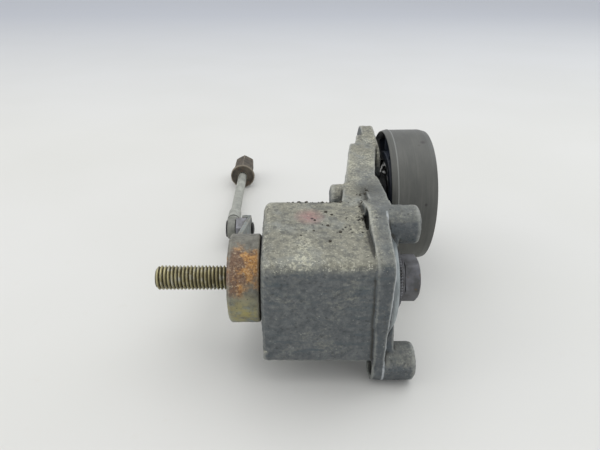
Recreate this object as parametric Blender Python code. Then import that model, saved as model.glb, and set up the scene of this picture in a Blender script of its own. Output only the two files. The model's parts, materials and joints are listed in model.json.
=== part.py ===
"""Belt tensioner with a rubber torsion spring and a flat idler pulley.

The bolt's axis is X, pointing from the engine to the front, and +Z is up. The origin is on that axis, at the
face of the lever's hub that is clamped to the engine. Lengths are in metres.
"""

import math

import bmesh
import bpy
from mathutils import Matrix, Vector

MM = 0.001
CLEARANCE = 0.3 * MM
ROUND_STEPS = 48
SMALL_STEPS = 28
EDGE_ANGLE = math.radians(35)

# Bolt and the stack under its head
BOLT_RADIUS = 5.0 * MM
BOLT_LENGTH = 100.0 * MM
BOLT_CHAMFER = 1.0 * MM
BOLT_HEAD_WIDTH = 17.0 * MM
BOLT_HEAD_HEIGHT = 6.2 * MM
BOLT_HEAD_TURN = math.radians(-2)
PLAIN_WASHER_RADIUS = 9.7 * MM
PLAIN_WASHER_THICKNESS = 1.2 * MM
SERRATED_WASHER_RADIUS = 12.6 * MM
SERRATED_WASHER_THICKNESS = 1.3 * MM
SERRATION_DEPTH = 0.5 * MM
SERRATION_COUNT = 60
FRONT_DISC_RADIUS = 15.3 * MM
FRONT_DISC_THICKNESS = 1.4 * MM
FRONT_DISC_DISH = 0.7 * MM

# Lever with its hub
LEVER_HUB_RADIUS = 18.0 * MM
LEVER_HUB_THICKNESS = 12.5 * MM
LEVER_HUB_CHAMFER = 1.0 * MM
LEVER_THICKNESS = 2.4 * MM
LEVER_ROOT_RADIUS = 14.0 * MM
LEVER_END_RADIUS = 7.4 * MM
LEVER_TAB_REACH = 3.8 * MM
LEVER_TAB_THICKNESS = 2.2 * MM
LEVER_TAB_HEIGHT = 8.0 * MM
SWIVEL_Y = 92.0 * MM
SWIVEL_Z = -27.0 * MM

# Square housing and the rubber spring inside it
REAR_GAP = 0.9 * MM
HOUSING_SIDE = 47.4 * MM
HOUSING_LENGTH = 41.0 * MM
HOUSING_WALL = 5.7 * MM
HOUSING_CORNER = 4.0 * MM
HOUSING_RIM_ROUND = 2.6 * MM
HOUSING_TURN = math.radians(4)
CORE_SIDE = 20.0 * MM
CORE_JOURNAL_RADIUS = 10.0 * MM
CORD_END_GAP = 3.0 * MM
BUSH_WALL = 2.2 * MM
REAR_SEAL_WIDTH = 2.6 * MM
REAR_SEAL_DEPTH = 3.4 * MM

# Flange, front boss and lugs of the casting
FLANGE_THICKNESS = 6.8 * MM
FLANGE_LEAN = 0.05
FRONT_BOSS_HEIGHT = 3.4 * MM
FRONT_BOSS_RADIUS = 24.6 * MM
FRONT_BOSS_TOP_RADIUS = 19.6 * MM
LUG_RADIUS = 7.7 * MM
LUG_BORE_RADIUS = 4.2 * MM
LUG_BACK_SET = 2.2 * MM
SPOT_FACE_RADIUS = 6.0 * MM
SPOT_FACE_SET = 4.5 * MM
LUG_REACH = 74.3 * MM
LUG_ROUND = 1.0 * MM
UPPER_LUG = (3.0 * MM, 23.2 * MM)
LOWER_LUG = (-16.0 * MM, -30.0 * MM)
GUSSET_FACE = 65.7 * MM
GUSSET_REACH = 46.0 * MM
STOP_LUG = (36.0 * MM, 19.5 * MM)
STOP_LUG_RADIUS = 6.0 * MM
STOP_LUG_LENGTH = 6.0 * MM

# Arm
ARM_LENGTH = 78.8 * MM
ARM_RISE = 1.7 * MM
ARM_BOSS_RADIUS = 16.0 * MM
ARM_THICKNESS = 14.0 * MM
ARM_SLANT = 0.165
ARM_CREST_RADIUS = 11.0 * MM
ARM_CREST_OFFSET = (5.2 * MM, 15.6 * MM)
ARM_ROOT = (14.0 * MM, 6.0 * MM)
ARM_ROOT_RADIUS = 18.5 * MM
TIP_OFFSET = (27.2 * MM, 18.8 * MM)
TIP_RADIUS = 11.0 * MM
TIP_THICKNESS = 7.4 * MM
ARM_TO_PULLEY_GAP = 1.3 * MM
POCKET_DEPTH = 5.5 * MM
POCKET_RADIUS = 4.0 * MM
POCKET_RIB = 4.0 * MM

# Pulley
PULLEY_RADIUS = 35.0 * MM
PULLEY_WIDTH = 22.2 * MM
PULLEY_BACK = 73.8 * MM
PULLEY_EDGE_BEVEL = 3.0 * MM
PULLEY_EDGE_DROP = 0.9 * MM
PULLEY_RIM_EDGE = 0.4 * MM
PULLEY_RIM_WALL = 3.0 * MM
PULLEY_WEB = 3.0 * MM
PULLEY_HUB_WALL = 3.2 * MM
PULLEY_LIP = 1.4 * MM
PULLEY_RIBS = 12
PULLEY_RIB_THICKNESS = 1.8 * MM
PULLEY_RIB_INSET = 2.2 * MM

# Ball bearing, of the 6203 size
BEARING_BORE_RADIUS = 8.5 * MM
BEARING_RADIUS = 20.0 * MM
BEARING_WIDTH = 12.0 * MM
BALL_RADIUS = 3.375 * MM
BALL_CIRCLE_RADIUS = 14.25 * MM
BALL_COUNT = 8
RACE_SHOULDER = 2.35 * MM
CAGE_WALL = 1.1 * MM
CAGE_SIDE = 0.8 * MM
SEAL_THICKNESS = 1.0 * MM
SPIGOT_SHOULDER_RADIUS = 12.0 * MM
SPIGOT_SHOULDER_FACE = 76.0 * MM

# Pulley bolt, its washer and the dust cap
PULLEY_BOLT_RADIUS = 4.0 * MM
PULLEY_BOLT_LENGTH = 25.0 * MM
PULLEY_BOLT_HEAD_WIDTH = 13.0 * MM
PULLEY_BOLT_HEAD_HEIGHT = 5.3 * MM
PULLEY_WASHER_RADIUS = 11.4 * MM
PULLEY_WASHER_THICKNESS = 1.6 * MM
CAP_WALL = 0.9 * MM

# Tension rod, its stud and its nut
EYE_RADIUS = 6.0 * MM
EYE_THICKNESS = 4.8 * MM
STUD_RADIUS = 4.0 * MM
STUD_TAIL_RADIUS = 3.0 * MM
STUD_HEAD_RADIUS = 5.0 * MM
STUD_HEAD_THICKNESS = 0.6 * MM
STUD_RIVET_RADIUS = 3.9 * MM
STUD_RIVET_THICKNESS = 1.4 * MM
STUD_NUT_WIDTH = 13.0 * MM
STUD_NUT_THICKNESS = 6.2 * MM
ROD_RADIUS = 3.1 * MM
ROD_COLLAR_RADIUS = 4.0 * MM
ROD_COLLAR_END = 21.0 * MM
ROD_TAPER = 3.0 * MM
ROD_DROP = math.radians(-1)
NUT_DISTANCE = 85.0 * MM
NUT_COLLAR_RADIUS = 8.85 * MM
NUT_COLLAR_THICKNESS = 3.2 * MM
NUT_WIDTH = 13.0 * MM
NUT_HEX_LENGTH = 25.0 * MM
ROD_END_DEPTH = 4.0 * MM

# Places along X, from the engine to the front
HOUSING_BACK = LEVER_HUB_THICKNESS + REAR_GAP
HOUSING_FRONT = HOUSING_BACK + HOUSING_LENGTH
FLANGE_FRONT = HOUSING_FRONT + FLANGE_THICKNESS
BOSS_FRONT = FLANGE_FRONT + FRONT_BOSS_HEIGHT
DISC_BACK = BOSS_FRONT + CLEARANCE
DISC_FRONT = DISC_BACK + FRONT_DISC_THICKNESS
SERRATED_BACK = DISC_FRONT + CLEARANCE
SERRATED_FRONT = SERRATED_BACK + SERRATED_WASHER_THICKNESS
WASHER_BACK = SERRATED_FRONT + CLEARANCE
WASHER_FRONT = WASHER_BACK + PLAIN_WASHER_THICKNESS
BOLT_HEAD_BACK = WASHER_FRONT + CLEARANCE
BORE_FLOOR = HOUSING_FRONT + CLEARANCE
CORE_BACK = LEVER_HUB_THICKNESS + CLEARANCE
BORE_HALF = HOUSING_SIDE / 2 - HOUSING_WALL
BUSH_BORE_RADIUS = CORE_JOURNAL_RADIUS + BUSH_WALL + 2 * CLEARANCE
BEARING_BACK = SPIGOT_SHOULDER_FACE + CLEARANCE
BEARING_FRONT = BEARING_BACK + BEARING_WIDTH
BEARING_MIDDLE = (BEARING_BACK + BEARING_FRONT) / 2
PULLEY_WASHER_BACK = BEARING_FRONT + CLEARANCE
PULLEY_BOLT_HEAD_BACK = PULLEY_WASHER_BACK + PULLEY_WASHER_THICKNESS + CLEARANCE
CAP_INSIDE = PULLEY_BOLT_HEAD_BACK + PULLEY_BOLT_HEAD_HEIGHT + CLEARANCE
PULLEY_FRONT = PULLEY_BACK + PULLEY_WIDTH
ARM_FACE_LIMIT = PULLEY_BACK - ARM_TO_PULLEY_GAP
STUD_NUT_BACK = -CLEARANCE - STUD_NUT_THICKNESS
EYE_FRONT = STUD_NUT_BACK - CLEARANCE
EYE_MIDDLE = EYE_FRONT - EYE_THICKNESS / 2
PULLEY_AXIS = (ARM_LENGTH, ARM_RISE)


# Points in the plane across X, each as (y, z)


def circle(centre, radius, steps=ROUND_STEPS, start=0.0):
    angles = [start + 2 * math.pi * i / steps for i in range(steps)]
    return [(centre[0] + radius * math.cos(a), centre[1] + radius * math.sin(a)) for a in angles]


def hexagon(centre, width, turn=0.0):
    return circle(centre, width / math.sqrt(3), 6, turn)


def rounded_square(side, corner, turn, steps=4):
    """A square about the X axis, with its corners rounded."""
    inner = side / 2 - corner
    points = []
    for quarter in range(4):
        middle = turn + math.pi / 4 + quarter * math.pi / 2
        y = inner * math.sqrt(2) * math.cos(middle)
        z = inner * math.sqrt(2) * math.sin(middle)
        for step in range(steps + 1):
            angle = middle - math.pi / 4 + math.pi / 2 * step / steps
            points.append((y + corner * math.cos(angle), z + corner * math.sin(angle)))
    return points


def hull_of_circles(circles, steps=SMALL_STEPS):
    """The outline of a band stretched round circles, each as (centre, radius)."""
    points = sorted({p for centre, radius in circles for p in circle(centre, radius, steps)})

    def chain(ordered):
        kept = []
        for p in ordered:
            while len(kept) > 1 and turn_of(kept[-2], kept[-1], p) <= 1e-12:
                kept.pop()
            kept.append(p)
        return kept[:-1]

    return chain(points) + chain(reversed(points))


def turn_of(a, b, c):
    return (b[0] - a[0]) * (c[1] - a[1]) - (b[1] - a[1]) * (c[0] - a[0])


def shifted(centre, offset):
    return (centre[0] + offset[0], centre[1] + offset[1])


# Meshes


def finish_mesh(name, bm, material):
    bmesh.ops.recalc_face_normals(bm, faces=bm.faces)
    mesh = bpy.data.meshes.new(name)
    bm.to_mesh(mesh)
    bm.free()
    mesh.shade_smooth()
    mesh.set_sharp_from_angle(angle=EDGE_ANGLE)
    if material:
        mesh.materials.append(material)
    obj = bpy.data.objects.new(name, mesh)
    bpy.context.scene.collection.objects.link(obj)
    return obj


def loft(name, loops, material=None):
    """A solid through loops of points, all with the same number of points, and capped at both ends."""
    bm = bmesh.new()
    rings = [[bm.verts.new(p) for p in loop] for loop in loops]
    count = len(rings[0])
    for first, second in zip(rings, rings[1:]):
        for i in range(count):
            j = (i + 1) % count
            bm.faces.new((first[i], first[j], second[j], second[i]))
    bm.faces.new(rings[0])
    bm.faces.new(rings[-1])
    return finish_mesh(name, bm, material)


def prism(name, outline, back, front, material=None):
    """An outline drawn out along X. back and front are places, or functions that give one from y and z."""

    def face(place):
        return [(place(y, z) if callable(place) else place, y, z) for y, z in outline]

    return loft(name, [face(back), face(front)], material)


def turned(name, profile, centre=(0.0, 0.0), material=None, steps=ROUND_STEPS, start=0.0):
    """A solid turned about an axis along X. profile is a closed run of (x, radius) points.

    Points at radius 0 become one point on the axis.
    """
    bm = bmesh.new()
    rings = []
    for x, radius in profile:
        if radius == 0:
            rings.append([bm.verts.new((x, centre[0], centre[1]))] * steps)
            continue
        points = circle(centre, radius, steps, start)
        rings.append([bm.verts.new((x, y, z)) for y, z in points])
    for first, second in zip(rings, rings[1:] + rings[:1]):
        for i in range(steps):
            j = (i + 1) % steps
            corners = list(dict.fromkeys((first[i], first[j], second[j], second[i])))
            if len(corners) > 2:
                bm.faces.new(corners)
    return finish_mesh(name, bm, material)


def rod_profile(back, front, radius, chamfer=0.0):
    if chamfer == 0:
        return [(back, 0), (back, radius), (front, radius), (front, 0)]
    return [
        (back, 0),
        (back, radius - chamfer),
        (back + chamfer, radius),
        (front - chamfer, radius),
        (front, radius - chamfer),
        (front, 0),
    ]


def ring_profile(back, front, inner, outer):
    return [(back, inner), (back, outer), (front, outer), (front, inner)]


def rod(name, back, front, radius, centre=(0.0, 0.0), chamfer=0.0, material=None, steps=SMALL_STEPS):
    return turned(name, rod_profile(back, front, radius, chamfer), centre, material, steps)


def ring(name, back, front, inner, outer, centre=(0.0, 0.0), material=None, steps=ROUND_STEPS):
    return turned(name, ring_profile(back, front, inner, outer), centre, material, steps)


def combine(obj, others, operation):
    """Joins the other solids to an object, or cuts them from it, and hides them."""
    for other in others:
        modifier = obj.modifiers.new(other.name, "BOOLEAN")
        modifier.operation = operation
        modifier.solver = "EXACT"
        modifier.object = other
        other.hide_render = True
        other.display_type = "WIRE"
        other.parent = obj
    return obj


def chamfered_hex(name, outline_width, back, front, turn, chamfer_face, material, centre=(0.0, 0.0)):
    """A hex prism whose corners are cut back to a cone at its outer face."""
    across = outline_width / math.sqrt(3)
    body = prism(name, hexagon(centre, outline_width, turn), back, front, material)
    drop = (across - outline_width / 2) * math.tan(math.radians(30))
    far = 2 * across
    sign = 1 if chamfer_face == front else -1
    low = outline_width / 2 * 0.97
    cone = turned(
        name + "_chamfer",
        [
            (chamfer_face + sign * across, 0),
            (chamfer_face + sign * across, far),
            (chamfer_face - sign * (far - low) * math.tan(math.radians(30)), far),
            (chamfer_face, low),
            (chamfer_face, 0),
        ],
        centre,
        None,
        ROUND_STEPS,
    )
    assert drop < front - back
    return combine(body, [cone], "DIFFERENCE")


# Materials


def principled(name, colour, roughness, metallic):
    material = bpy.data.materials.new(name)
    material.use_nodes = True
    shader = material.node_tree.nodes["Principled BSDF"]
    shader.inputs["Base Color"].default_value = (*colour, 1.0)
    shader.inputs["Roughness"].default_value = roughness
    shader.inputs["Metallic"].default_value = metallic
    return material


def cast_aluminium():
    return principled("cast_aluminium", (0.33, 0.33, 0.30), 0.7, 0.6)


def yellow_zinc(name):
    return principled(name, (0.36, 0.33, 0.16), 0.45, 0.9)


def rusty_steel(name):
    return principled(name, (0.36, 0.24, 0.15), 0.75, 0.5)


def plain_steel(name):
    return principled(name, (0.45, 0.46, 0.46), 0.4, 0.9)


def dark_steel(name):
    return principled(name, (0.10, 0.10, 0.11), 0.5, 0.8)


def black_rubber(name):
    return principled(name, (0.02, 0.02, 0.02), 0.8, 0.0)


def dark_plastic(name):
    return principled(name, (0.11, 0.11, 0.09), 0.45, 0.0)


# Bolt and the stack under its head


def central_bolt():
    head_front = BOLT_HEAD_BACK + BOLT_HEAD_HEIGHT
    head = chamfered_hex(
        "central_bolt", BOLT_HEAD_WIDTH, BOLT_HEAD_BACK, head_front, BOLT_HEAD_TURN, head_front,
        dark_steel("bolt_steel"),
    )
    overlap = BOLT_HEAD_HEIGHT / 2
    shank = rod(
        "central_bolt_shank", BOLT_HEAD_BACK - BOLT_LENGTH, BOLT_HEAD_BACK + overlap, BOLT_RADIUS,
        chamfer=BOLT_CHAMFER,
    )
    return combine(head, [shank], "UNION")


def plain_washer():
    return ring(
        "plain_washer", WASHER_BACK, WASHER_FRONT, BOLT_RADIUS + CLEARANCE, PLAIN_WASHER_RADIUS,
        material=dark_steel("washer_steel"),
    )


def serrated_washer():
    """Its rim alternates between two radii."""
    outline = []
    for i in range(2 * SERRATION_COUNT):
        radius = SERRATED_WASHER_RADIUS - SERRATION_DEPTH * (i % 2)
        angle = math.pi * i / SERRATION_COUNT
        outline.append((radius * math.cos(angle), radius * math.sin(angle)))
    washer = prism("serrated_washer", outline, SERRATED_BACK, SERRATED_FRONT, dark_steel("serration_steel"))
    bore = rod(
        "serrated_washer_bore", SERRATED_BACK - MM, SERRATED_FRONT + MM, BOLT_RADIUS + CLEARANCE
    )
    return combine(washer, [bore], "DIFFERENCE")


def front_disc_radius():
    """No larger than leaves room for the upper lug."""
    return min(FRONT_DISC_RADIUS, math.hypot(*UPPER_LUG) - LUG_RADIUS - CLEARANCE)


def front_disc():
    rim = front_disc_radius()
    foot = SERRATED_WASHER_RADIUS
    bore = BOLT_RADIUS + CLEARANCE
    profile = [
        (DISC_BACK, bore),
        (DISC_BACK, rim),
        (DISC_FRONT - FRONT_DISC_DISH, rim),
        (DISC_FRONT, foot),
        (DISC_FRONT, bore),
    ]
    return turned("front_disc", profile, material=plain_steel("disc_steel"))


# Lever, core and the rubber spring


def tension_lever():
    """The hub, its flat arm down to the swivel, and the tab bent up behind the stud's nut."""
    bore = BOLT_RADIUS + CLEARANCE
    chamfer = LEVER_HUB_CHAMFER
    hub = turned(
        "tension_lever",
        [
            (0, bore),
            (0, LEVER_HUB_RADIUS - chamfer),
            (chamfer, LEVER_HUB_RADIUS),
            (LEVER_HUB_THICKNESS - chamfer / 2, LEVER_HUB_RADIUS),
            (LEVER_HUB_THICKNESS, LEVER_HUB_RADIUS - chamfer / 2),
            (LEVER_HUB_THICKNESS, bore),
        ],
        material=rusty_steel("lever_steel"),
    )
    swivel = (SWIVEL_Y, SWIVEL_Z)
    outline = hull_of_circles([((0.0, 0.0), LEVER_ROOT_RADIUS), (swivel, LEVER_END_RADIUS)])
    plate = prism("tension_lever_arm", outline, CLEARANCE, LEVER_THICKNESS)
    tab_back = SWIVEL_Y + STUD_NUT_WIDTH / math.sqrt(3) + 2 * CLEARANCE
    tab_bottom = SWIVEL_Z - LEVER_TAB_HEIGHT / 2
    tab_top = SWIVEL_Z + LEVER_TAB_HEIGHT / 2
    tab = prism(
        "tension_lever_tab",
        [
            (SWIVEL_Y, tab_bottom),
            (tab_back + LEVER_TAB_THICKNESS, tab_bottom),
            (tab_back + LEVER_TAB_THICKNESS, tab_top),
            (SWIVEL_Y, tab_top),
        ],
        -LEVER_TAB_REACH,
        LEVER_THICKNESS * 0.8,
    )
    nut_room = prism(
        "tension_lever_nut_room",
        [
            (SWIVEL_Y - LEVER_END_RADIUS, tab_bottom - MM),
            (tab_back, tab_bottom - MM),
            (tab_back, tab_top + MM),
            (SWIVEL_Y - LEVER_END_RADIUS, tab_top + MM),
        ],
        -LEVER_TAB_REACH - MM,
        CLEARANCE,
    )
    combine(tab, [nut_room], "DIFFERENCE")
    through = rod(
        "tension_lever_bore", -MM, LEVER_HUB_THICKNESS + MM, bore, steps=ROUND_STEPS
    )
    stud_hole = rod("tension_lever_stud_hole", -MM, LEVER_THICKNESS + MM, STUD_TAIL_RADIUS + CLEARANCE, swivel)
    combine(hub, [plate, tab], "UNION")
    return combine(hub, [through, stud_hole], "DIFFERENCE")


def core():
    """Square where the rubber grips it, and round in the front bush."""
    square = prism(
        "core", rounded_square(CORE_SIDE, MM, HOUSING_TURN + math.pi / 4, 2),
        CORE_BACK, BORE_FLOOR - CLEARANCE, plain_steel("core_steel"),
    )
    journal = rod(
        "core_journal", BORE_FLOOR - 2 * MM, BOSS_FRONT, CORE_JOURNAL_RADIUS, steps=ROUND_STEPS
    )
    bore = rod("core_bore", CORE_BACK - MM, BOSS_FRONT + MM, BOLT_RADIUS + CLEARANCE)
    combine(square, [journal], "UNION")
    return combine(square, [bore], "DIFFERENCE")


def rubber_cords():
    """Each touches two walls of the housing's bore and one flat of the core, less the clearance."""
    reach = BORE_HALF * math.sqrt(2)
    radius = (reach - CORE_SIDE / 2) / (1 + math.sqrt(2))
    distance = CORE_SIDE / 2 + radius
    rubber = black_rubber("cord_rubber")
    back = HOUSING_BACK + CORD_END_GAP + REAR_SEAL_DEPTH
    front = BORE_FLOOR - CORD_END_GAP
    cords = []
    for i in range(4):
        angle = HOUSING_TURN + math.pi / 4 + i * math.pi / 2
        centre = (distance * math.cos(angle), distance * math.sin(angle))
        cords.append(rod(
            f"rubber_cord_{i + 1}", back, front, radius - CLEARANCE, centre, MM, rubber, 20
        ))
    return cords


def rear_seal():
    outer = min(BORE_HALF, LEVER_HUB_RADIUS) - 2 * CLEARANCE
    return ring(
        "rear_seal", CORE_BACK, CORE_BACK + REAR_SEAL_DEPTH, outer - REAR_SEAL_WIDTH, outer,
        material=black_rubber("seal_rubber"),
    )


# Casting


def flange_back(y, z):
    """It leans to the front towards the bottom, and meets the housing's end at its top."""
    return HOUSING_FRONT + FLANGE_LEAN * (HOUSING_SIDE / 2 - z)


def arm_back(y, z=0.0):
    return arm_front(y) - ARM_THICKNESS


def arm_front(y, z=0.0):
    """The arm leans to the front, and reaches its limit where its boss ends."""
    return ARM_FACE_LIMIT + ARM_SLANT * (y - ARM_LENGTH - ARM_BOSS_RADIUS)


def square_housing():
    sections = []
    for share in (0.0, 0.5, 1.0):
        angle = share * math.pi / 2
        inset = HOUSING_RIM_ROUND * (1 - math.sin(angle))
        x = HOUSING_BACK + HOUSING_RIM_ROUND * (1 - math.cos(angle))
        outline = rounded_square(HOUSING_SIDE - 2 * inset, HOUSING_CORNER, HOUSING_TURN)
        sections.append([(x, y, z) for y, z in outline])
    last = HOUSING_FRONT + FLANGE_THICKNESS / 2
    sections.append([(last, y, z) for x, y, z in sections[-1]])
    return loft("housing_arm", sections, cast_aluminium())


def flange():
    corner = HOUSING_CORNER + 0.8 * MM
    reach = (HOUSING_SIDE / 2 - HOUSING_CORNER) * math.sqrt(2)
    circles = []
    for quarter in range(4):
        angle = HOUSING_TURN + math.pi / 4 + quarter * math.pi / 2
        circles.append(((reach * math.cos(angle), reach * math.sin(angle)), corner))
    circles.append((UPPER_LUG, LUG_RADIUS - 0.5 * MM))
    circles.append((LOWER_LUG, LUG_RADIUS - 0.5 * MM))
    return prism("flange", hull_of_circles(circles, 20), flange_back, FLANGE_FRONT)


def front_boss():
    profile = [
        (HOUSING_FRONT + MM, 0),
        (HOUSING_FRONT + MM, FRONT_BOSS_RADIUS),
        (FLANGE_FRONT, FRONT_BOSS_RADIUS),
        (BOSS_FRONT, FRONT_BOSS_TOP_RADIUS),
        (BOSS_FRONT, 0),
    ]
    return turned("front_boss", profile)


def lug(name, centre):
    back = HOUSING_FRONT + LUG_BACK_SET
    profile = [
        (back, 0),
        (back, LUG_RADIUS),
        (LUG_REACH - LUG_ROUND, LUG_RADIUS),
        (LUG_REACH, LUG_RADIUS - LUG_ROUND),
        (LUG_REACH, 0),
    ]
    return turned(name, profile, centre, None, 32)


def lug_webs():
    """The lower lug's web to the front boss, and the gusset from the upper lug along the arm."""
    lower = [(LOWER_LUG, 0.75 * LUG_RADIUS), ((0.5 * LOWER_LUG[0], 0.5 * LOWER_LUG[1]), LUG_RADIUS)]
    upper = [(shifted(UPPER_LUG, (MM, -5 * MM)), 9.5 * MM), ((GUSSET_REACH, 20.5 * MM), 5 * MM)]
    return [
        prism("lower_web", hull_of_circles(lower, 20), HOUSING_FRONT + 4 * MM, BOSS_FRONT + 0.9 * MM),
        prism("upper_gusset", hull_of_circles(upper, 20), HOUSING_FRONT + 3 * MM, GUSSET_FACE),
    ]


def arm_plates():
    crest = (shifted(PULLEY_AXIS, ARM_CREST_OFFSET), ARM_CREST_RADIUS)
    tip = (shifted(PULLEY_AXIS, TIP_OFFSET), TIP_RADIUS)
    thick = hull_of_circles([(ARM_ROOT, ARM_ROOT_RADIUS), (PULLEY_AXIS, ARM_BOSS_RADIUS), crest])
    thin = hull_of_circles([(crest[0], ARM_CREST_RADIUS - 0.4 * MM), tip])
    return [
        prism("arm_plate", thick, arm_back, arm_front),
        prism("arm_tip", thin, ARM_FACE_LIMIT - TIP_THICKNESS, ARM_FACE_LIMIT - 0.2 * MM),
    ]


def stop_lug():
    front = arm_back(STOP_LUG[0]) + 4 * MM
    return rod(
        "stop_lug", front - STOP_LUG_LENGTH - 4 * MM, front, STOP_LUG_RADIUS, STOP_LUG, MM, steps=24
    )


def bearing_spigot():
    start = arm_front(ARM_LENGTH) - 3 * MM
    radius = BEARING_BORE_RADIUS - CLEARANCE
    profile = [
        (start, 0),
        (start, SPIGOT_SHOULDER_RADIUS),
        (SPIGOT_SHOULDER_FACE, SPIGOT_SHOULDER_RADIUS),
        (SPIGOT_SHOULDER_FACE, radius),
        (BEARING_FRONT - CLEARANCE, radius),
        (BEARING_FRONT - CLEARANCE, 0),
    ]
    return turned("bearing_spigot", profile, PULLEY_AXIS, None, 32)


def housing_cuts():
    """The square bore for the rubber, the round one for the bush, and the front disc's seat."""
    square = prism(
        "square_bore", rounded_square(2 * BORE_HALF, MM, HOUSING_TURN, 2), HOUSING_BACK - MM, BORE_FLOOR
    )
    round_bore = rod(
        "bush_bore", BORE_FLOOR - 2 * MM, BOSS_FRONT + MM, BUSH_BORE_RADIUS, steps=ROUND_STEPS
    )
    seat = rod(
        "disc_seat", BOSS_FRONT - 0.1 * MM, LUG_REACH + MM, front_disc_radius() + 0.8 * CLEARANCE,
        steps=ROUND_STEPS,
    )
    return [square, round_bore, seat]


def lug_bores():
    """Through the lugs, with a spot face at the back of each, and through the arm's tip."""
    start = HOUSING_FRONT - 0.5 * MM
    floor = HOUSING_FRONT + SPOT_FACE_SET
    end = LUG_REACH + MM
    profile = [
        (start, 0),
        (start, SPOT_FACE_RADIUS),
        (floor, SPOT_FACE_RADIUS),
        (floor, LUG_BORE_RADIUS),
        (end, LUG_BORE_RADIUS),
        (end, 0),
    ]
    tip = shifted(PULLEY_AXIS, TIP_OFFSET)
    return [
        turned("upper_lug_bore", profile, UPPER_LUG, None, 26),
        turned("lower_lug_bore", profile, LOWER_LUG, None, 26),
        rod("tip_bore", ARM_FACE_LIMIT - TIP_THICKNESS - MM, ARM_FACE_LIMIT + MM, LUG_BORE_RADIUS, tip, steps=24),
    ]


def pulley_bolt_bore():
    floor = PULLEY_BOLT_HEAD_BACK - PULLEY_BOLT_LENGTH - MM
    return rod(
        "pulley_bolt_bore", floor, BEARING_FRONT + MM, PULLEY_BOLT_RADIUS + CLEARANCE, PULLEY_AXIS
    )


def arm_pockets():
    """Two hollows in the arm's back, with a rib between them."""
    near = HOUSING_SIDE / 2 + 4 * MM + 2.5 * POCKET_RADIUS
    far = ARM_LENGTH - ARM_BOSS_RADIUS - POCKET_RADIUS
    rise = POCKET_RADIUS + POCKET_RIB / 2
    pockets = []
    for name, side in (("upper_pocket", 1), ("lower_pocket", -1)):
        z = 4.5 * MM + side * rise
        outline = hull_of_circles([((near, z), POCKET_RADIUS), ((far, z), POCKET_RADIUS)], 20)
        pockets.append(prism(
            name, outline, lambda y, z: arm_back(y) - 8 * MM, lambda y, z: arm_back(y) + POCKET_DEPTH
        ))
    return pockets


def housing_arm():
    body = square_housing()
    solids = [flange(), front_boss(), lug("upper_lug", UPPER_LUG), lug("lower_lug", LOWER_LUG)]
    solids += lug_webs() + arm_plates() + [stop_lug(), bearing_spigot()]
    combine(body, solids, "UNION")
    return combine(body, housing_cuts() + lug_bores() + [pulley_bolt_bore()] + arm_pockets(), "DIFFERENCE")


def front_bush():
    inner = CORE_JOURNAL_RADIUS + CLEARANCE
    return ring(
        "front_bush", BORE_FLOOR + CLEARANCE, BOSS_FRONT, inner, inner + BUSH_WALL,
        material=dark_plastic("bush_plastic"),
    )


# Bearing


def raceway(ball_side):
    """Points of the groove, as (x, radius). ball_side is 1 outside the balls and -1 inside them."""
    radius = BALL_RADIUS + CLEARANCE
    edge = math.acos((BALL_RADIUS - RACE_SHOULDER + CLEARANCE) / radius)
    points = []
    for step in range(7):
        angle = -edge + 2 * edge * step / 6
        across = BALL_CIRCLE_RADIUS + ball_side * radius * math.cos(angle)
        points.append((BEARING_MIDDLE + radius * math.sin(angle), across))
    return points


def bearing_inner_ring():
    groove = raceway(-1)
    land = groove[0][1]
    profile = [(BEARING_BACK, BEARING_BORE_RADIUS), (BEARING_BACK, land)] + groove
    profile += [(BEARING_FRONT, land), (BEARING_FRONT, BEARING_BORE_RADIUS)]
    return turned("bearing_inner_ring", profile, PULLEY_AXIS, plain_steel("race_steel"), 40)


def bearing_outer_ring():
    groove = raceway(1)
    land = groove[0][1]
    profile = [(BEARING_BACK, land), (BEARING_BACK, BEARING_RADIUS)]
    profile += [(BEARING_FRONT, BEARING_RADIUS), (BEARING_FRONT, land)] + groove[::-1]
    return turned("bearing_outer_ring", profile, PULLEY_AXIS, plain_steel("outer_race_steel"), 40)


def ball_place(index):
    angle = 2 * math.pi * index / BALL_COUNT
    return Vector((
        BEARING_MIDDLE,
        PULLEY_AXIS[0] + BALL_CIRCLE_RADIUS * math.cos(angle),
        PULLEY_AXIS[1] + BALL_CIRCLE_RADIUS * math.sin(angle),
    ))


def bearing_balls():
    material = plain_steel("ball_steel")
    balls = []
    for i in range(BALL_COUNT):
        bm = bmesh.new()
        bmesh.ops.create_icosphere(bm, subdivisions=2, radius=BALL_RADIUS)
        bmesh.ops.translate(bm, verts=bm.verts, vec=ball_place(i))
        balls.append(finish_mesh(f"bearing_ball_{i + 1}", bm, material))
    return balls


def bearing_cage():
    half = BALL_RADIUS + CLEARANCE + CAGE_SIDE
    cage = ring(
        "bearing_cage", BEARING_MIDDLE - half, BEARING_MIDDLE + half,
        BALL_CIRCLE_RADIUS - CAGE_WALL, BALL_CIRCLE_RADIUS + CAGE_WALL,
        PULLEY_AXIS, yellow_zinc("cage_brass"), 40,
    )
    pockets = []
    for i in range(BALL_COUNT):
        pocket = rod(f"cage_pocket_{i + 1}", -5 * MM, 5 * MM, BALL_RADIUS + CLEARANCE, steps=16)
        turn = Matrix.Rotation(2 * math.pi * i / BALL_COUNT, 4, "X") @ Matrix.Rotation(math.pi / 2, 4, "Z")
        pocket.data.transform(Matrix.Translation(ball_place(i)) @ turn)
        pockets.append(pocket)
    return combine(cage, pockets, "DIFFERENCE")


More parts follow.
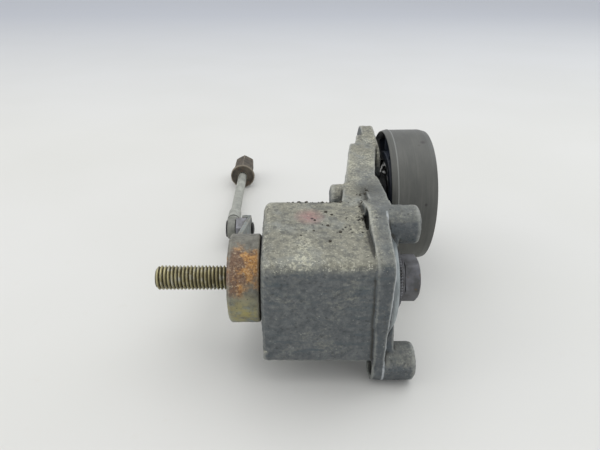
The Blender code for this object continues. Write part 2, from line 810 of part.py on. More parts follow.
def bearing_seals():
    inner_land = raceway(-1)[0][1]
    outer_land = raceway(1)[0][1]
    places = {
        "bearing_seal_rear": BEARING_BACK + CLEARANCE,
        "bearing_seal_front": BEARING_FRONT - CLEARANCE - SEAL_THICKNESS,
    }
    rubber = black_rubber("bearing_rubber")
    return [
        ring(
            name, back, back + SEAL_THICKNESS, inner_land + CLEARANCE, outer_land - CLEARANCE,
            PULLEY_AXIS, rubber, 40,
        )
        for name, back in places.items()
    ]


# Pulley and what holds it


def pulley_wheel():
    """Rim, web and hub as one turned solid, and ribs joined on both sides of the web."""
    hub_inner = BEARING_RADIUS + CLEARANCE
    hub_outer = hub_inner + PULLEY_HUB_WALL
    rim_inner = PULLEY_RADIUS - PULLEY_RIM_WALL
    edge_radius = PULLEY_RADIUS - PULLEY_EDGE_DROP
    web_back = (PULLEY_BACK + PULLEY_FRONT - PULLEY_WEB) / 2
    web_front = web_back + PULLEY_WEB
    hub_back = BEARING_BACK - PULLEY_LIP
    profile = [
        (hub_back, hub_inner - PULLEY_LIP),
        (hub_back, hub_outer),
        (web_back, hub_outer + 0.5 * MM),
        (web_back, rim_inner),
        (PULLEY_BACK, edge_radius - PULLEY_RIM_EDGE),
        (PULLEY_BACK, edge_radius),
        (PULLEY_BACK + PULLEY_EDGE_BEVEL, PULLEY_RADIUS),
        (PULLEY_FRONT - PULLEY_EDGE_BEVEL, PULLEY_RADIUS),
        (PULLEY_FRONT, edge_radius),
        (PULLEY_FRONT, edge_radius - PULLEY_RIM_EDGE),
        (web_front, rim_inner),
        (web_front, hub_outer + 0.5 * MM),
        (CAP_INSIDE - CLEARANCE, hub_outer),
        (CAP_INSIDE - CLEARANCE, hub_inner),
        (BEARING_BACK - CLEARANCE, hub_inner),
        (BEARING_BACK - CLEARANCE, hub_inner - PULLEY_LIP),
    ]
    wheel = turned("pulley_wheel", profile, PULLEY_AXIS, dark_plastic("pulley_plastic"), 64)
    return combine(wheel, pulley_ribs(hub_outer, rim_inner), "UNION")


def pulley_ribs(hub_outer, rim_inner):
    ribs = []
    middle = (hub_outer + rim_inner) / 2
    length = rim_inner - hub_outer + 2 * MM
    back = PULLEY_BACK + PULLEY_RIB_INSET
    front = PULLEY_FRONT - PULLEY_RIB_INSET
    for i in range(PULLEY_RIBS):
        bm = bmesh.new()
        bmesh.ops.create_cube(bm, size=1.0)
        place = Matrix.Translation((0.0, PULLEY_AXIS[0], PULLEY_AXIS[1]))
        turn = Matrix.Rotation(2 * math.pi * (i + 0.5) / PULLEY_RIBS, 4, "X")
        out = Matrix.Translation(((back + front) / 2, middle, 0.0))
        size = Matrix.Diagonal((front - back, length, PULLEY_RIB_THICKNESS, 1.0))
        bmesh.ops.transform(bm, matrix=place @ turn @ out @ size, verts=bm.verts)
        ribs.append(finish_mesh(f"pulley_rib_{i + 1}", bm, None))
    return ribs


def pulley_washer():
    return ring(
        "pulley_washer", PULLEY_WASHER_BACK, PULLEY_WASHER_BACK + PULLEY_WASHER_THICKNESS,
        PULLEY_BOLT_RADIUS + CLEARANCE, PULLEY_WASHER_RADIUS, PULLEY_AXIS, plain_steel("retainer_steel"), 40,
    )


def pulley_bolt():
    front = PULLEY_BOLT_HEAD_BACK + PULLEY_BOLT_HEAD_HEIGHT
    head = chamfered_hex(
        "pulley_bolt", PULLEY_BOLT_HEAD_WIDTH, PULLEY_BOLT_HEAD_BACK, front, 0.0, front,
        yellow_zinc("pulley_bolt_zinc"), PULLEY_AXIS,
    )
    shank = rod(
        "pulley_bolt_shank", PULLEY_BOLT_HEAD_BACK - PULLEY_BOLT_LENGTH,
        PULLEY_BOLT_HEAD_BACK + PULLEY_BOLT_HEAD_HEIGHT / 2, PULLEY_BOLT_RADIUS, PULLEY_AXIS, 0.8 * MM,
    )
    return combine(head, [shank], "UNION")


def dust_cap():
    """A cup pressed into the front of the pulley's hub."""
    outer = BEARING_RADIUS
    skirt_back = BEARING_FRONT + CLEARANCE
    profile = [
        (skirt_back, outer - CAP_WALL),
        (skirt_back, outer),
        (CAP_INSIDE + CAP_WALL - 0.5 * MM, outer),
        (CAP_INSIDE + CAP_WALL, outer - 0.8 * MM),
        (CAP_INSIDE + CAP_WALL, 0),
        (CAP_INSIDE, 0),
        (CAP_INSIDE, outer - CAP_WALL),
    ]
    return turned("dust_cap", profile, PULLEY_AXIS, dark_plastic("cap_plastic"), 40)


# Tension rod, its stud and its nut


def swivel_stud():
    """It turns freely in the rod's eye, is threaded through the nut, and is riveted in the lever."""
    head_back = EYE_FRONT - EYE_THICKNESS - CLEARANCE - STUD_HEAD_THICKNESS
    rivet_back = LEVER_THICKNESS + CLEARANCE
    profile = [
        (head_back, 0),
        (head_back, STUD_HEAD_RADIUS),
        (head_back + STUD_HEAD_THICKNESS, STUD_HEAD_RADIUS),
        (head_back + STUD_HEAD_THICKNESS, STUD_RADIUS),
        (0, STUD_RADIUS),
        (0, STUD_TAIL_RADIUS),
        (rivet_back, STUD_TAIL_RADIUS),
        (rivet_back, STUD_RIVET_RADIUS),
        (rivet_back + STUD_RIVET_THICKNESS / 2, STUD_RIVET_RADIUS),
        (rivet_back + STUD_RIVET_THICKNESS, STUD_RIVET_RADIUS / 2),
        (rivet_back + STUD_RIVET_THICKNESS, 0),
    ]
    return turned("swivel_stud", profile, (SWIVEL_Y, SWIVEL_Z), plain_steel("stud_steel"), 24)


def stud_nut():
    swivel = (SWIVEL_Y, SWIVEL_Z)
    nut = prism(
        "stud_nut", hexagon(swivel, STUD_NUT_WIDTH, math.pi / 2),
        STUD_NUT_BACK, STUD_NUT_BACK + STUD_NUT_THICKNESS, plain_steel("nut_steel"),
    )
    bore = rod("stud_nut_bore", STUD_NUT_BACK - MM, MM, STUD_RADIUS + CLEARANCE, swivel, steps=24)
    return combine(nut, [bore], "DIFFERENCE")


def along_rod(obj):
    """Turns a solid made along X so that it runs along Y."""
    obj.data.transform(Matrix.Rotation(math.pi / 2, 4, "Z"))
    return obj


def tension_rod():
    """In the rod's own frame: the eye's axis is X, and the rod runs along +Y from it."""
    end = NUT_DISTANCE + NUT_COLLAR_THICKNESS + NUT_HEX_LENGTH - ROD_END_DEPTH
    start = STUD_RADIUS + CLEARANCE + 0.5 * MM
    neck = EYE_THICKNESS / 2 - 0.1 * MM
    past_nut = STUD_NUT_WIDTH / math.sqrt(3) + CLEARANCE
    profile = [
        (start, 0),
        (start, neck),
        (past_nut, neck),
        (past_nut + 1.5 * MM, ROD_COLLAR_RADIUS),
        (ROD_COLLAR_END, ROD_COLLAR_RADIUS),
        (ROD_COLLAR_END + ROD_TAPER, ROD_RADIUS),
        (end - 0.6 * MM, ROD_RADIUS),
        (end, ROD_RADIUS - 0.6 * MM),
        (end, 0),
    ]
    shank = along_rod(turned("tension_rod_shank", profile, (0.0, 0.0), None, 24))
    eye = ring(
        "tension_rod", -EYE_THICKNESS / 2, EYE_THICKNESS / 2, STUD_RADIUS + CLEARANCE, EYE_RADIUS,
        material=plain_steel("rod_steel"), steps=32,
    )
    return combine(eye, [shank], "UNION")


def tension_nut():
    """A tall hex nut whose collar faces the rod's eye."""
    hex_back = NUT_DISTANCE + NUT_COLLAR_THICKNESS - MM
    front = NUT_DISTANCE + NUT_COLLAR_THICKNESS + NUT_HEX_LENGTH
    collar = turned(
        "tension_nut_collar",
        [
            (NUT_DISTANCE, 0),
            (NUT_DISTANCE, NUT_COLLAR_RADIUS - 0.4 * MM),
            (NUT_DISTANCE + 0.4 * MM, NUT_COLLAR_RADIUS),
            (NUT_DISTANCE + 0.6 * NUT_COLLAR_THICKNESS, NUT_COLLAR_RADIUS),
            (NUT_DISTANCE + NUT_COLLAR_THICKNESS, NUT_WIDTH / 2),
            (NUT_DISTANCE + NUT_COLLAR_THICKNESS, 0),
        ],
        steps=32,
    )
    body = chamfered_hex(
        "tension_nut", NUT_WIDTH, hex_back, front, math.pi / 6, front, rusty_steel("nut_rust")
    )
    bore = rod("tension_nut_bore", NUT_DISTANCE - MM, front + MM, ROD_RADIUS + CLEARANCE, steps=24)
    combine(body, [collar], "UNION")
    combine(body, [bore], "DIFFERENCE")
    for solid in (body, *body.children):
        along_rod(solid)
    return body


# Bodies


def pivot(name, place, parent=None, turn=0.0):
    """An empty on a joint's axis. place is in world coordinates, and turn is about X."""
    empty = bpy.data.objects.new(name, None)
    bpy.context.scene.collection.objects.link(empty)
    empty.empty_display_size = 10 * MM
    empty.location = Vector(place)
    empty.rotation_euler = (turn, 0.0, 0.0)
    if parent:
        empty.parent = parent
        empty.location = Vector(place) - world_place(parent)
    return empty


def world_place(empty):
    place = Vector((0.0, 0.0, 0.0))
    while empty:
        place += empty.location
        empty = empty.parent
    return place


def hang(objects, empty, in_world=True):
    """Parents solids to a pivot. Those made in world coordinates are set back by the pivot's place."""
    for obj in objects:
        obj.parent = empty
        if in_world:
            obj.location = -world_place(empty)


def clear_scene():
    for obj in list(bpy.data.objects):
        bpy.data.objects.remove(obj, do_unlink=True)


def build():
    clear_scene()
    bolt_pivot = pivot("bolt_pivot", (0, 0, 0))
    hang([central_bolt(), plain_washer(), serrated_washer(), front_disc()], bolt_pivot)

    lever_pivot = pivot("lever_pivot", (0, 0, 0), bolt_pivot)
    hang([tension_lever(), core(), rear_seal(), swivel_stud(), stud_nut()], lever_pivot)
    hang(rubber_cords(), lever_pivot)

    rod_pivot = pivot("rod_pivot", (EYE_MIDDLE, SWIVEL_Y, SWIVEL_Z), lever_pivot, ROD_DROP)
    hang([tension_rod(), tension_nut()], rod_pivot, in_world=False)

    arm_pivot = pivot("arm_pivot", (0, 0, 0), lever_pivot)
    hang([housing_arm(), front_bush(), bearing_inner_ring(), pulley_washer(), pulley_bolt()], arm_pivot)

    pulley_pivot = pivot("pulley_pivot", (BEARING_MIDDLE, *PULLEY_AXIS), arm_pivot)
    hang([pulley_wheel(), bearing_outer_ring(), dust_cap()] + bearing_seals(), pulley_pivot)

    cage_pivot = pivot("cage_pivot", (BEARING_MIDDLE, *PULLEY_AXIS), arm_pivot)
    hang([bearing_cage()] + bearing_balls(), cage_pivot)


build()
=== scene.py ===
"""Looks of a used belt tensioner: a pitted cast housing with its arm, a plastic pulley, and a rusty
lever with its rod.

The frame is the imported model's: the bolt's axis is X, +Z is up, and lengths are in metres.
"""

import json
import math

import bmesh
import bpy
import numpy as np
from mathutils import Matrix, Vector, noise
from mathutils.bvhtree import BVHTree

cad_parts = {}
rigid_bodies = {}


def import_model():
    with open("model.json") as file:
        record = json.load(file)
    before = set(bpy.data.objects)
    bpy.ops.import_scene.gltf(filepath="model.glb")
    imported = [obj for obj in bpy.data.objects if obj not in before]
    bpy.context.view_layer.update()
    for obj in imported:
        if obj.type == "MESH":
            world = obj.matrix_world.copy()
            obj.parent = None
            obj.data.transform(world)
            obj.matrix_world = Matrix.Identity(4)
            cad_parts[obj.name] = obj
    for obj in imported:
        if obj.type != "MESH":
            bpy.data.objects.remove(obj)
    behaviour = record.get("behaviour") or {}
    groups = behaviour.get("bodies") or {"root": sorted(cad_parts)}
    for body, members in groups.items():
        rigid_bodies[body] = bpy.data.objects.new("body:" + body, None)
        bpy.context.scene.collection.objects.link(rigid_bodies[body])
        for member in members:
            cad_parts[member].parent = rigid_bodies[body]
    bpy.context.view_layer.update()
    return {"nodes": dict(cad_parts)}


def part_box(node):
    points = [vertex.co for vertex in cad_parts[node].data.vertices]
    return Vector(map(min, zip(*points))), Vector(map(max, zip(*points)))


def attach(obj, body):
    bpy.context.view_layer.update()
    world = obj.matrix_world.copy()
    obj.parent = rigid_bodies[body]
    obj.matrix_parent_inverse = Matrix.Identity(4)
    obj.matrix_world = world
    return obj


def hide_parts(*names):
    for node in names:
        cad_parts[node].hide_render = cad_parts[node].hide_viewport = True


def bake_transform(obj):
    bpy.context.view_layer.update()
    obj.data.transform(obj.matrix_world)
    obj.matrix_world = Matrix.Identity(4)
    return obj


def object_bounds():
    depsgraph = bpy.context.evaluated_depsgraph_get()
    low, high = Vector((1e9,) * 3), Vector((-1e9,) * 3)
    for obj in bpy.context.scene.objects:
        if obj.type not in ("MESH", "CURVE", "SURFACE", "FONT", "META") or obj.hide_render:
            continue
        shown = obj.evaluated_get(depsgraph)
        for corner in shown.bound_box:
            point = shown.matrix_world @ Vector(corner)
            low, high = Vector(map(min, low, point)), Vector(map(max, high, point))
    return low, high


MM = 0.001

# Measures of the CAD: the square housing's rear face and half its side, the flange's front face, a
# place on the pulley's axis, and the arm's slanted front face, as (x, y) at its tip and a slope
HOUSING_BACK = 13.4 * MM
HOUSING_HALF = 23.7 * MM
FLANGE_FRONT = 61.2 * MM
PULLEY_PLACE = Vector((75, 78.8, 1.7)) * MM
ARM_FACE = (72.5 * MM, 94.8 * MM)
ARM_SLANT = 0.165


# Colours and materials


def rgb(red, green, blue):
    """A colour given as the eye sees it, from 0 to 255, as linear light."""
    shares = [c / 255 for c in (red, green, blue)]
    return tuple(s / 12.92 if s <= 0.04045 else ((s + 0.055) / 1.055) ** 2.4 for s in shares)


def matt(level):
    """A roughness in the form that a colour mix takes."""
    return (level,) * 3


class Surface:
    """A Principled material whose patterns are sized in millimetres of the piece's own space."""

    def __init__(self, name, metallic=0.0):
        self.material = bpy.data.materials.new(name)
        self.material.use_nodes = True
        self.tree = self.material.node_tree
        self.shader = self.tree.nodes["Principled BSDF"]
        self.shader.inputs["Metallic"].default_value = metallic
        source = self.tree.nodes.new("ShaderNodeTexCoord")
        self.place = source.outputs["Object"]
        split = self.tree.nodes.new("ShaderNodeSeparateXYZ")
        self.tree.links.new(source.outputs["Normal"], split.inputs[0])
        self.up = split.outputs["Z"]
        self.near = split.outputs["Y"]
        split = self.tree.nodes.new("ShaderNodeSeparateXYZ")
        self.tree.links.new(self.place, split.inputs[0])
        self.x, self.y, self.z = split.outputs

    def put(self, socket, value):
        if isinstance(value, bpy.types.NodeSocket):
            self.tree.links.new(value, socket)
        elif isinstance(value, tuple) and len(value) == 3 and socket.type == "RGBA":
            socket.default_value = (*value, 1.0)
        else:
            socket.default_value = value

    def scaled(self, size, stretch=(1, 1, 1)):
        """The place in steps of that many millimetres, which are longer along a stretched axis."""
        node = self.tree.nodes.new("ShaderNodeMapping")
        self.tree.links.new(self.place, node.inputs["Vector"])
        node.inputs["Scale"].default_value = [1 / (MM * size * s) for s in stretch]
        return node.outputs[0]

    def noise(self, size, detail=3.0, roughness=0.55, stretch=(1, 1, 1)):
        node = self.tree.nodes.new("ShaderNodeTexNoise")
        self.tree.links.new(self.scaled(size, stretch), node.inputs["Vector"])
        node.inputs["Scale"].default_value = 1.0
        node.inputs["Detail"].default_value = detail
        node.inputs["Roughness"].default_value = roughness
        return node.outputs["Fac"]

    def cells(self, size):
        """The distance to the nearest of points scattered about that many millimetres apart."""
        node = self.tree.nodes.new("ShaderNodeTexVoronoi")
        self.tree.links.new(self.scaled(size), node.inputs["Vector"])
        node.inputs["Scale"].default_value = 1.0
        return node.outputs["Distance"]

    def attribute(self, name):
        node = self.tree.nodes.new("ShaderNodeAttribute")
        node.attribute_name = name
        return node.outputs["Fac"]

    def math(self, operation, first, second, clamp=False):
        node = self.tree.nodes.new("ShaderNodeMath")
        node.operation = operation
        node.use_clamp = clamp
        self.put(node.inputs[0], first)
        self.put(node.inputs[1], second)
        return node.outputs[0]

    def step(self, value, low, high):
        """0 below low and 1 above high, or the other way round where low is above high."""
        node = self.tree.nodes.new("ShaderNodeMapRange")
        self.put(node.inputs["Value"], value)
        node.inputs["From Min"].default_value = min(low, high)
        node.inputs["From Max"].default_value = max(low, high)
        node.inputs["To Min"].default_value = 0.0 if low < high else 1.0
        node.inputs["To Max"].default_value = 1.0 if low < high else 0.0
        return node.outputs[0]

    def mix(self, share, first, second):
        node = self.tree.nodes.new("ShaderNodeMix")
        node.data_type = "RGBA"
        self.put(node.inputs["Factor"], share)
        # A Mix node's sockets have the same names for each data type: the colour ones go by place.
        for index, value in ((6, first), (7, second)):
            self.put(node.inputs[index], value)
        return node.outputs[2]

    def spot(self, centre, radius, softness):
        """1 inside a ball about a point, fading to 0 over softness."""
        node = self.tree.nodes.new("ShaderNodeVectorMath")
        node.operation = "DISTANCE"
        self.tree.links.new(self.place, node.inputs[0])
        node.inputs[1].default_value = centre
        return self.step(node.outputs["Value"], radius + softness, radius)

    def between(self, value, low, high, softness):
        """1 from low to high, fading to 0 over softness on each side."""
        rise = self.step(value, low - softness, low)
        return self.math("MULTIPLY", rise, self.step(value, high + softness, high))

    def bump(self, height, depth, strength=1.0):
        """Adds a relief of that depth in millimetres on top of any earlier one."""
        node = self.tree.nodes.new("ShaderNodeBump")
        node.inputs["Distance"].default_value = depth * MM
        node.inputs["Strength"].default_value = strength
        self.tree.links.new(height, node.inputs["Height"])
        earlier = self.shader.inputs["Normal"]
        if earlier.is_linked:
            self.tree.links.new(earlier.links[0].from_socket, node.inputs["Normal"])
        self.tree.links.new(node.outputs[0], earlier)

    def finish(self, colour, roughness):
        self.put(self.shader.inputs["Base Color"], colour)
        self.put(self.shader.inputs["Roughness"], roughness)
        return self.material


def casting_surface():
    """Cast aluminium: dust and painted top light on what faces up, darker bare metal below, chips,
    pores, worn edges, grime and painted shade in corners, and painted shade behind the pulley.
    """
    s = Surface("casting_metal", 0.2)
    top = 24 * MM  # where the single marks on the housing's top face lie
    broad = s.noise(16, 4)
    mottle = s.noise(2.4, 6, 0.68)
    grain = s.noise(0.6, 4, 0.75)
    # Faces that point up turn lighter: dust, and painted light from above
    facing_up = s.math("MULTIPLY_ADD", s.up, 0.75)
    facing_up.node.inputs[2].default_value = 0.12  # what MULTIPLY_ADD adds
    dust_and_top_light = s.step(s.math("ADD", facing_up, s.math("MULTIPLY", broad, 0.5)), 0.35, 0.85)
    flange = s.math("MULTIPLY", s.step(s.x, 53 * MM, 58 * MM), s.step(s.y, 76 * MM, 30 * MM))
    dust_and_top_light = s.math("SUBTRACT", dust_and_top_light, s.math("MULTIPLY", flange, 0.68), clamp=True)

    # The bare metal, and the dust on it
    bare = s.mix(s.step(mottle, 0.3, 0.7), rgb(72, 77, 80), rgb(116, 119, 119))
    bare = s.mix(s.math("MULTIPLY", flange, 0.4), bare, rgb(70, 75, 79))
    bare = s.mix(s.step(s.noise(5, 3, 0.5, (2.2, 1, 0.5)), 0.5, 0.72), bare, rgb(82, 90, 94))
    haze = s.step(s.math("ADD", s.noise(1.2, 5, 0.75), s.math("MULTIPLY", broad, 0.6)), 0.86, 1.02)
    bare = s.mix(s.math("MULTIPLY", haze, 0.4), bare, rgb(140, 141, 133))
    dust = s.mix(s.step(mottle, 0.32, 0.66), rgb(104, 103, 93), rgb(150, 148, 133))
    dust = s.mix(s.step(s.noise(9, 5, 0.6), 0.48, 0.68), dust, rgb(132, 134, 128))
    pale = s.step(s.math("ADD", s.noise(1.1, 5, 0.75), s.math("MULTIPLY", broad, 0.5)), 0.78, 0.92)
    dust = s.mix(pale, dust, rgb(188, 186, 166))
    worn = s.step(s.math("ADD", s.noise(3.4, 6, 0.72), s.math("MULTIPLY", broad, 0.4)), 0.66, 0.56)
    dust = s.mix(s.math("MULTIPLY", worn, 0.8), dust, rgb(92, 93, 88))
    colour = s.mix(dust_and_top_light, bare, dust)

    # Flecks, chips, pores and specks
    brow = s.math("MULTIPLY", s.between(s.up, 0.25, 0.9, 0.15), s.step(s.x, 60 * MM, 52 * MM))
    patches = s.step(s.noise(1.7, 4), 0.46, 0.6)
    flecks = s.math("MULTIPLY", s.step(s.cells(0.75), 0.4, 0.25), patches)
    flecks = s.math("MULTIPLY", flecks, brow)
    colour = s.mix(s.math("MULTIPLY", flecks, 0.85), colour, rgb(198, 196, 180))
    patches = s.step(s.noise(3.1, 4), 0.57, 0.68)
    chips = s.math("MULTIPLY", s.step(s.cells(1.15), 0.3, 0.16), patches)
    colour = s.mix(s.math("MULTIPLY", chips, 0.5), colour, rgb(176, 178, 170))
    pitted = s.math("MAXIMUM", s.spot((50 * MM, 0, top), 6 * MM, 7 * MM), 0.3)
    pores = s.math("MULTIPLY", s.step(s.cells(1.9), 0.3, 0.2), s.step(s.noise(3.4, 3), 0.45, 0.52))
    pores = s.math("MULTIPLY", pores, pitted)
    colour = s.mix(pores, colour, rgb(34, 32, 30))
    specks = s.math("MULTIPLY", s.step(s.cells(0.8), 0.26, 0.13), s.step(grain, 0.45, 0.6))
    colour = s.mix(s.math("MULTIPLY", specks, 0.7), colour, rgb(58, 58, 55))

    # Worn edges, and concave corners darkened by grime and painted shade
    edge = s.step(s.math("ADD", s.attribute("edge"), s.math("MULTIPLY", mottle, 0.8)), 0.72, 1.25)
    colour = s.mix(s.math("MULTIPLY", edge, 0.45), colour, rgb(162, 163, 156))
    corner = s.math("ADD", s.attribute("corner"), s.math("MULTIPLY", mottle, 0.45))
    corner = s.step(corner, 0.4, 0.85)
    colour = s.mix(s.math("MULTIPLY", corner, 0.85), colour, rgb(50, 49, 44))

    # A stain with a dark dot, the arm's dark root, painted dark-blue shade behind the pulley, a
    # painted highlight on the flange's front edge
    stain = s.spot((32 * MM, 7.5 * MM, top), 1.5 * MM, 5.5 * MM)
    stain = s.math("MULTIPLY", stain, s.step(mottle, 0.1, 0.6))
    colour = s.mix(s.math("MULTIPLY", stain, 0.75), colour, rgb(158, 114, 112))
    colour = s.mix(s.spot((33 * MM, 6 * MM, top), 0.35 * MM, 0.5 * MM), colour, rgb(36, 28, 28))
    root = s.spot((58 * MM, 31 * MM, top), 3 * MM, 7 * MM)
    root = s.math("MULTIPLY", root, s.step(mottle, 0.15, 0.55))
    colour = s.mix(s.math("MULTIPLY", root, 0.75), colour, rgb(72, 72, 66))
    # Painted shade: the casting turns blue-black about the pulley's axis, where it shows through
    # the pulley
    grease_and_shade = s.spot(tuple(PULLEY_PLACE), 13 * MM, 3 * MM)
    colour = s.mix(s.math("MULTIPLY", grease_and_shade, 0.85), colour, rgb(28, 31, 38))
    # A painted highlight along the flange's front edge, on faces that point towards -Y
    flange_front_highlight = s.between(s.x, FLANGE_FRONT - 0.25 * MM, FLANGE_FRONT + 0.25 * MM, 0.3 * MM)
    flange_front_highlight = s.math("MULTIPLY", flange_front_highlight, s.step(s.near, -0.25, -0.6))
    colour = s.mix(s.math("MULTIPLY", flange_front_highlight, s.step(mottle, 0.2, 0.5)), colour, rgb(176, 180, 182))

    roughness = s.mix(edge, s.mix(mottle, matt(0.5), matt(0.82)), matt(0.42))
    s.bump(mottle, 0.3, 0.8)
    s.bump(grain, 0.12, 0.8)
    s.bump(s.math("SUBTRACT", 1.0, pores), 0.3)
    return s.finish(colour, roughness)


def turned_boss_surface():
    """The casting's front boss, turned bright next to the disc."""
    s = Surface("turned_aluminium", 0.6)
    rings = s.noise(0.6, 3, 0.6, (0.5, 9, 9))
    broad = s.noise(6, 4, 0.6)
    bright = s.step(s.x, FLANGE_FRONT + 0.8 * MM, FLANGE_FRONT + 2.9 * MM)
    colour = s.mix(bright, rgb(88, 93, 96), rgb(150, 158, 160))
    colour = s.mix(s.math("MULTIPLY", s.step(rings, 0.5, 0.62), 0.4), colour, rgb(182, 190, 190))
    colour = s.mix(s.math("MULTIPLY", s.step(broad, 0.45, 0.65), 0.6), colour, rgb(96, 102, 104))
    s.bump(rings, 0.05)
    return s.finish(colour, s.mix(broad, matt(0.34), matt(0.6)))


def zinc_thread_surface():
    """Yellow zinc on the crests, with brown grime in the roots."""
    s = Surface("worn_yellow_zinc", 0.6)
    patch = s.noise(5, 4, 0.6)
    fine = s.noise(0.7, 4, 0.6)
    zinc = s.mix(s.step(patch, 0.36, 0.62), rgb(136, 128, 98), rgb(178, 170, 130))
    zinc = s.mix(s.step(s.noise(2.4, 3), 0.52, 0.68), zinc, rgb(184, 182, 170))
    grime = s.step(s.math("ADD", s.attribute("root"), s.math("MULTIPLY", fine, 0.5)), 0.62, 1.2)
    colour = s.mix(grime, zinc, rgb(54, 49, 38))
    roughness = s.mix(grime, matt(0.36), matt(0.8))
    s.bump(fine, 0.06)
    return s.finish(colour, roughness)


def rusty_hub_surface(rust_place, yellow_place):
    """Dull zinc with an orange and brown rust patch above, and yellow-green zinc below."""
    s = Surface("rusty_zinc_steel", 0.2)
    broad = s.noise(6, 5, 0.62)
    patch = s.noise(3.4, 5, 0.66)
    fine = s.noise(0.8, 5, 0.7)
    zinc = s.mix(s.step(patch, 0.36, 0.62), rgb(84, 82, 74), rgb(122, 120, 110))
    low = s.step(s.z, 4 * MM, -3 * MM)
    zinc = s.mix(s.math("MULTIPLY", low, s.step(broad, 0.38, 0.6)), zinc, rgb(128, 140, 142))
    yellow = s.math("MULTIPLY", s.spot(yellow_place, 3 * MM, 9 * MM), s.step(patch, 0.3, 0.55))
    zinc = s.mix(s.math("MULTIPLY", yellow, 0.85), zinc, rgb(164, 152, 90))
    # Painted shade: the zinc darkens towards the tab, from y 60 to 84 mm
    zinc = s.mix(s.math("MULTIPLY", s.step(s.y, 60 * MM, 84 * MM), 0.6), zinc, rgb(78, 79, 76))
    brown = s.mix(s.step(fine, 0.36, 0.64), rgb(96, 76, 64), rgb(136, 110, 90))
    orange = s.mix(s.step(fine, 0.38, 0.6), rgb(140, 98, 60), rgb(200, 156, 98))
    right = s.math("ADD", patch, s.math("MULTIPLY", s.x, 22.0))
    rust = s.mix(s.step(right, 0.56, 0.72), brown, orange)
    pale = s.step(s.noise(0.9, 5, 0.75), 0.54, 0.64)
    rust = s.mix(s.math("MULTIPLY", pale, 0.7), rust, rgb(204, 186, 156))
    deep = s.step(s.noise(1.3, 5, 0.75), 0.56, 0.66)
    rust = s.mix(s.math("MULTIPLY", deep, 0.7), rust, rgb(88, 62, 48))
    near_rust = s.spot(rust_place, 4 * MM, 11 * MM)
    rusted = s.step(s.math("ADD", s.math("MULTIPLY", near_rust, 0.55), broad), 0.72, 0.92)
    colour = s.mix(rusted, zinc, rust)
    edge = s.step(s.math("ADD", s.attribute("edge"), s.math("MULTIPLY", fine, 0.6)), 0.85, 1.2)
    colour = s.mix(s.math("MULTIPLY", edge, 0.4), colour, rgb(160, 156, 142))
    dark = s.math("MULTIPLY", s.step(s.cells(1.4), 0.26, 0.1), s.step(fine, 0.45, 0.6))
    colour = s.mix(s.math("MULTIPLY", dark, 0.7), colour, rgb(50, 42, 36))
    roughness = s.mix(rusted, matt(0.5), matt(0.88))
    s.bump(fine, 0.14)
    s.bump(rusted, 0.1)
    return s.finish(colour, roughness)


def rusty_nut_surface():
    s = Surface("brown_rust", 0.25)
    broad = s.noise(4, 5, 0.6)
    fine = s.noise(0.6, 5, 0.7)
    colour = s.mix(s.step(broad, 0.36, 0.64), rgb(60, 55, 49), rgb(98, 91, 80))
    orange = s.step(s.noise(2.2, 4), 0.56, 0.7)
    colour = s.mix(s.math("MULTIPLY", orange, 0.6), colour, rgb(104, 78, 58))
    edge = s.step(s.math("ADD", s.attribute("edge"), s.math("MULTIPLY", fine, 0.5)), 0.6, 1.0)
    colour = s.mix(s.math("MULTIPLY", edge, 0.6), colour, rgb(158, 148, 130))
    colour = s.mix(s.step(fine, 0.62, 0.74), colour, rgb(48, 40, 34))
    s.bump(fine, 0.12)
    return s.finish(colour, s.mix(broad, matt(0.6), matt(0.9)))


def dull_zinc_surface(name, light, dark):
    s = Surface(name, 0.55)
    broad = s.noise(5, 5, 0.6)
    fine = s.noise(0.5, 4, 0.7)
    colour = s.mix(s.step(broad, 0.34, 0.66), dark, light)
    colour = s.mix(s.step(s.noise(1.6, 4, 0.7), 0.6, 0.72), colour, rgb(84, 80, 72))
    s.bump(fine, 0.05)
    return s.finish(colour, s.mix(broad, matt(0.42), matt(0.68)))


def rod_surface(pivot):
    """Light dull zinc, darker and greasy about the eye, with a dark ring where the collar ends."""
    s = Surface("rod_zinc", 0.5)
    broad = s.noise(5, 5, 0.6)
    fine = s.noise(0.5, 4, 0.7)
    colour = s.mix(s.step(broad, 0.34, 0.66), rgb(136, 137, 130), rgb(178, 179, 170))
    colour = s.mix(s.step(s.noise(1.6, 4, 0.7), 0.62, 0.74), colour, rgb(98, 94, 84))
    grease_and_shade = s.spot(tuple(pivot), 8 * MM, 5 * MM)
    grease = s.mix(broad, rgb(84, 85, 80), rgb(120, 120, 112))
    colour = s.mix(s.math("MULTIPLY", grease_and_shade, 0.6), colour, grease)
    collar_end = pivot.y + 10.2 * MM
    ring = s.between(s.y, collar_end, pivot.y + 11.2 * MM, 0.4 * MM)
    colour = s.mix(s.math("MULTIPLY", ring, 0.85), colour, rgb(44, 42, 38))
    s.bump(fine, 0.05)
    return s.finish(colour, s.mix(broad, matt(0.42), matt(0.68)))


def dark_steel_surface(name, grey, metallic=0.8):
    s = Surface(name, metallic)
    broad = s.noise(4, 4, 0.6)
    fine = s.noise(0.4, 4, 0.7, (1, 1, 2.5))
    low = rgb(*(int(grey * 0.72),) * 3)
    high = rgb(grey, grey, int(grey * 1.04))
    colour = s.mix(s.step(broad, 0.35, 0.65), low, high)
    colour = s.mix(s.step(s.noise(1.5, 4, 0.7), 0.6, 0.7), colour, rgb(96, 82, 66))
    s.bump(fine, 0.04)
    return s.finish(colour, s.mix(broad, matt(0.36), matt(0.62)))


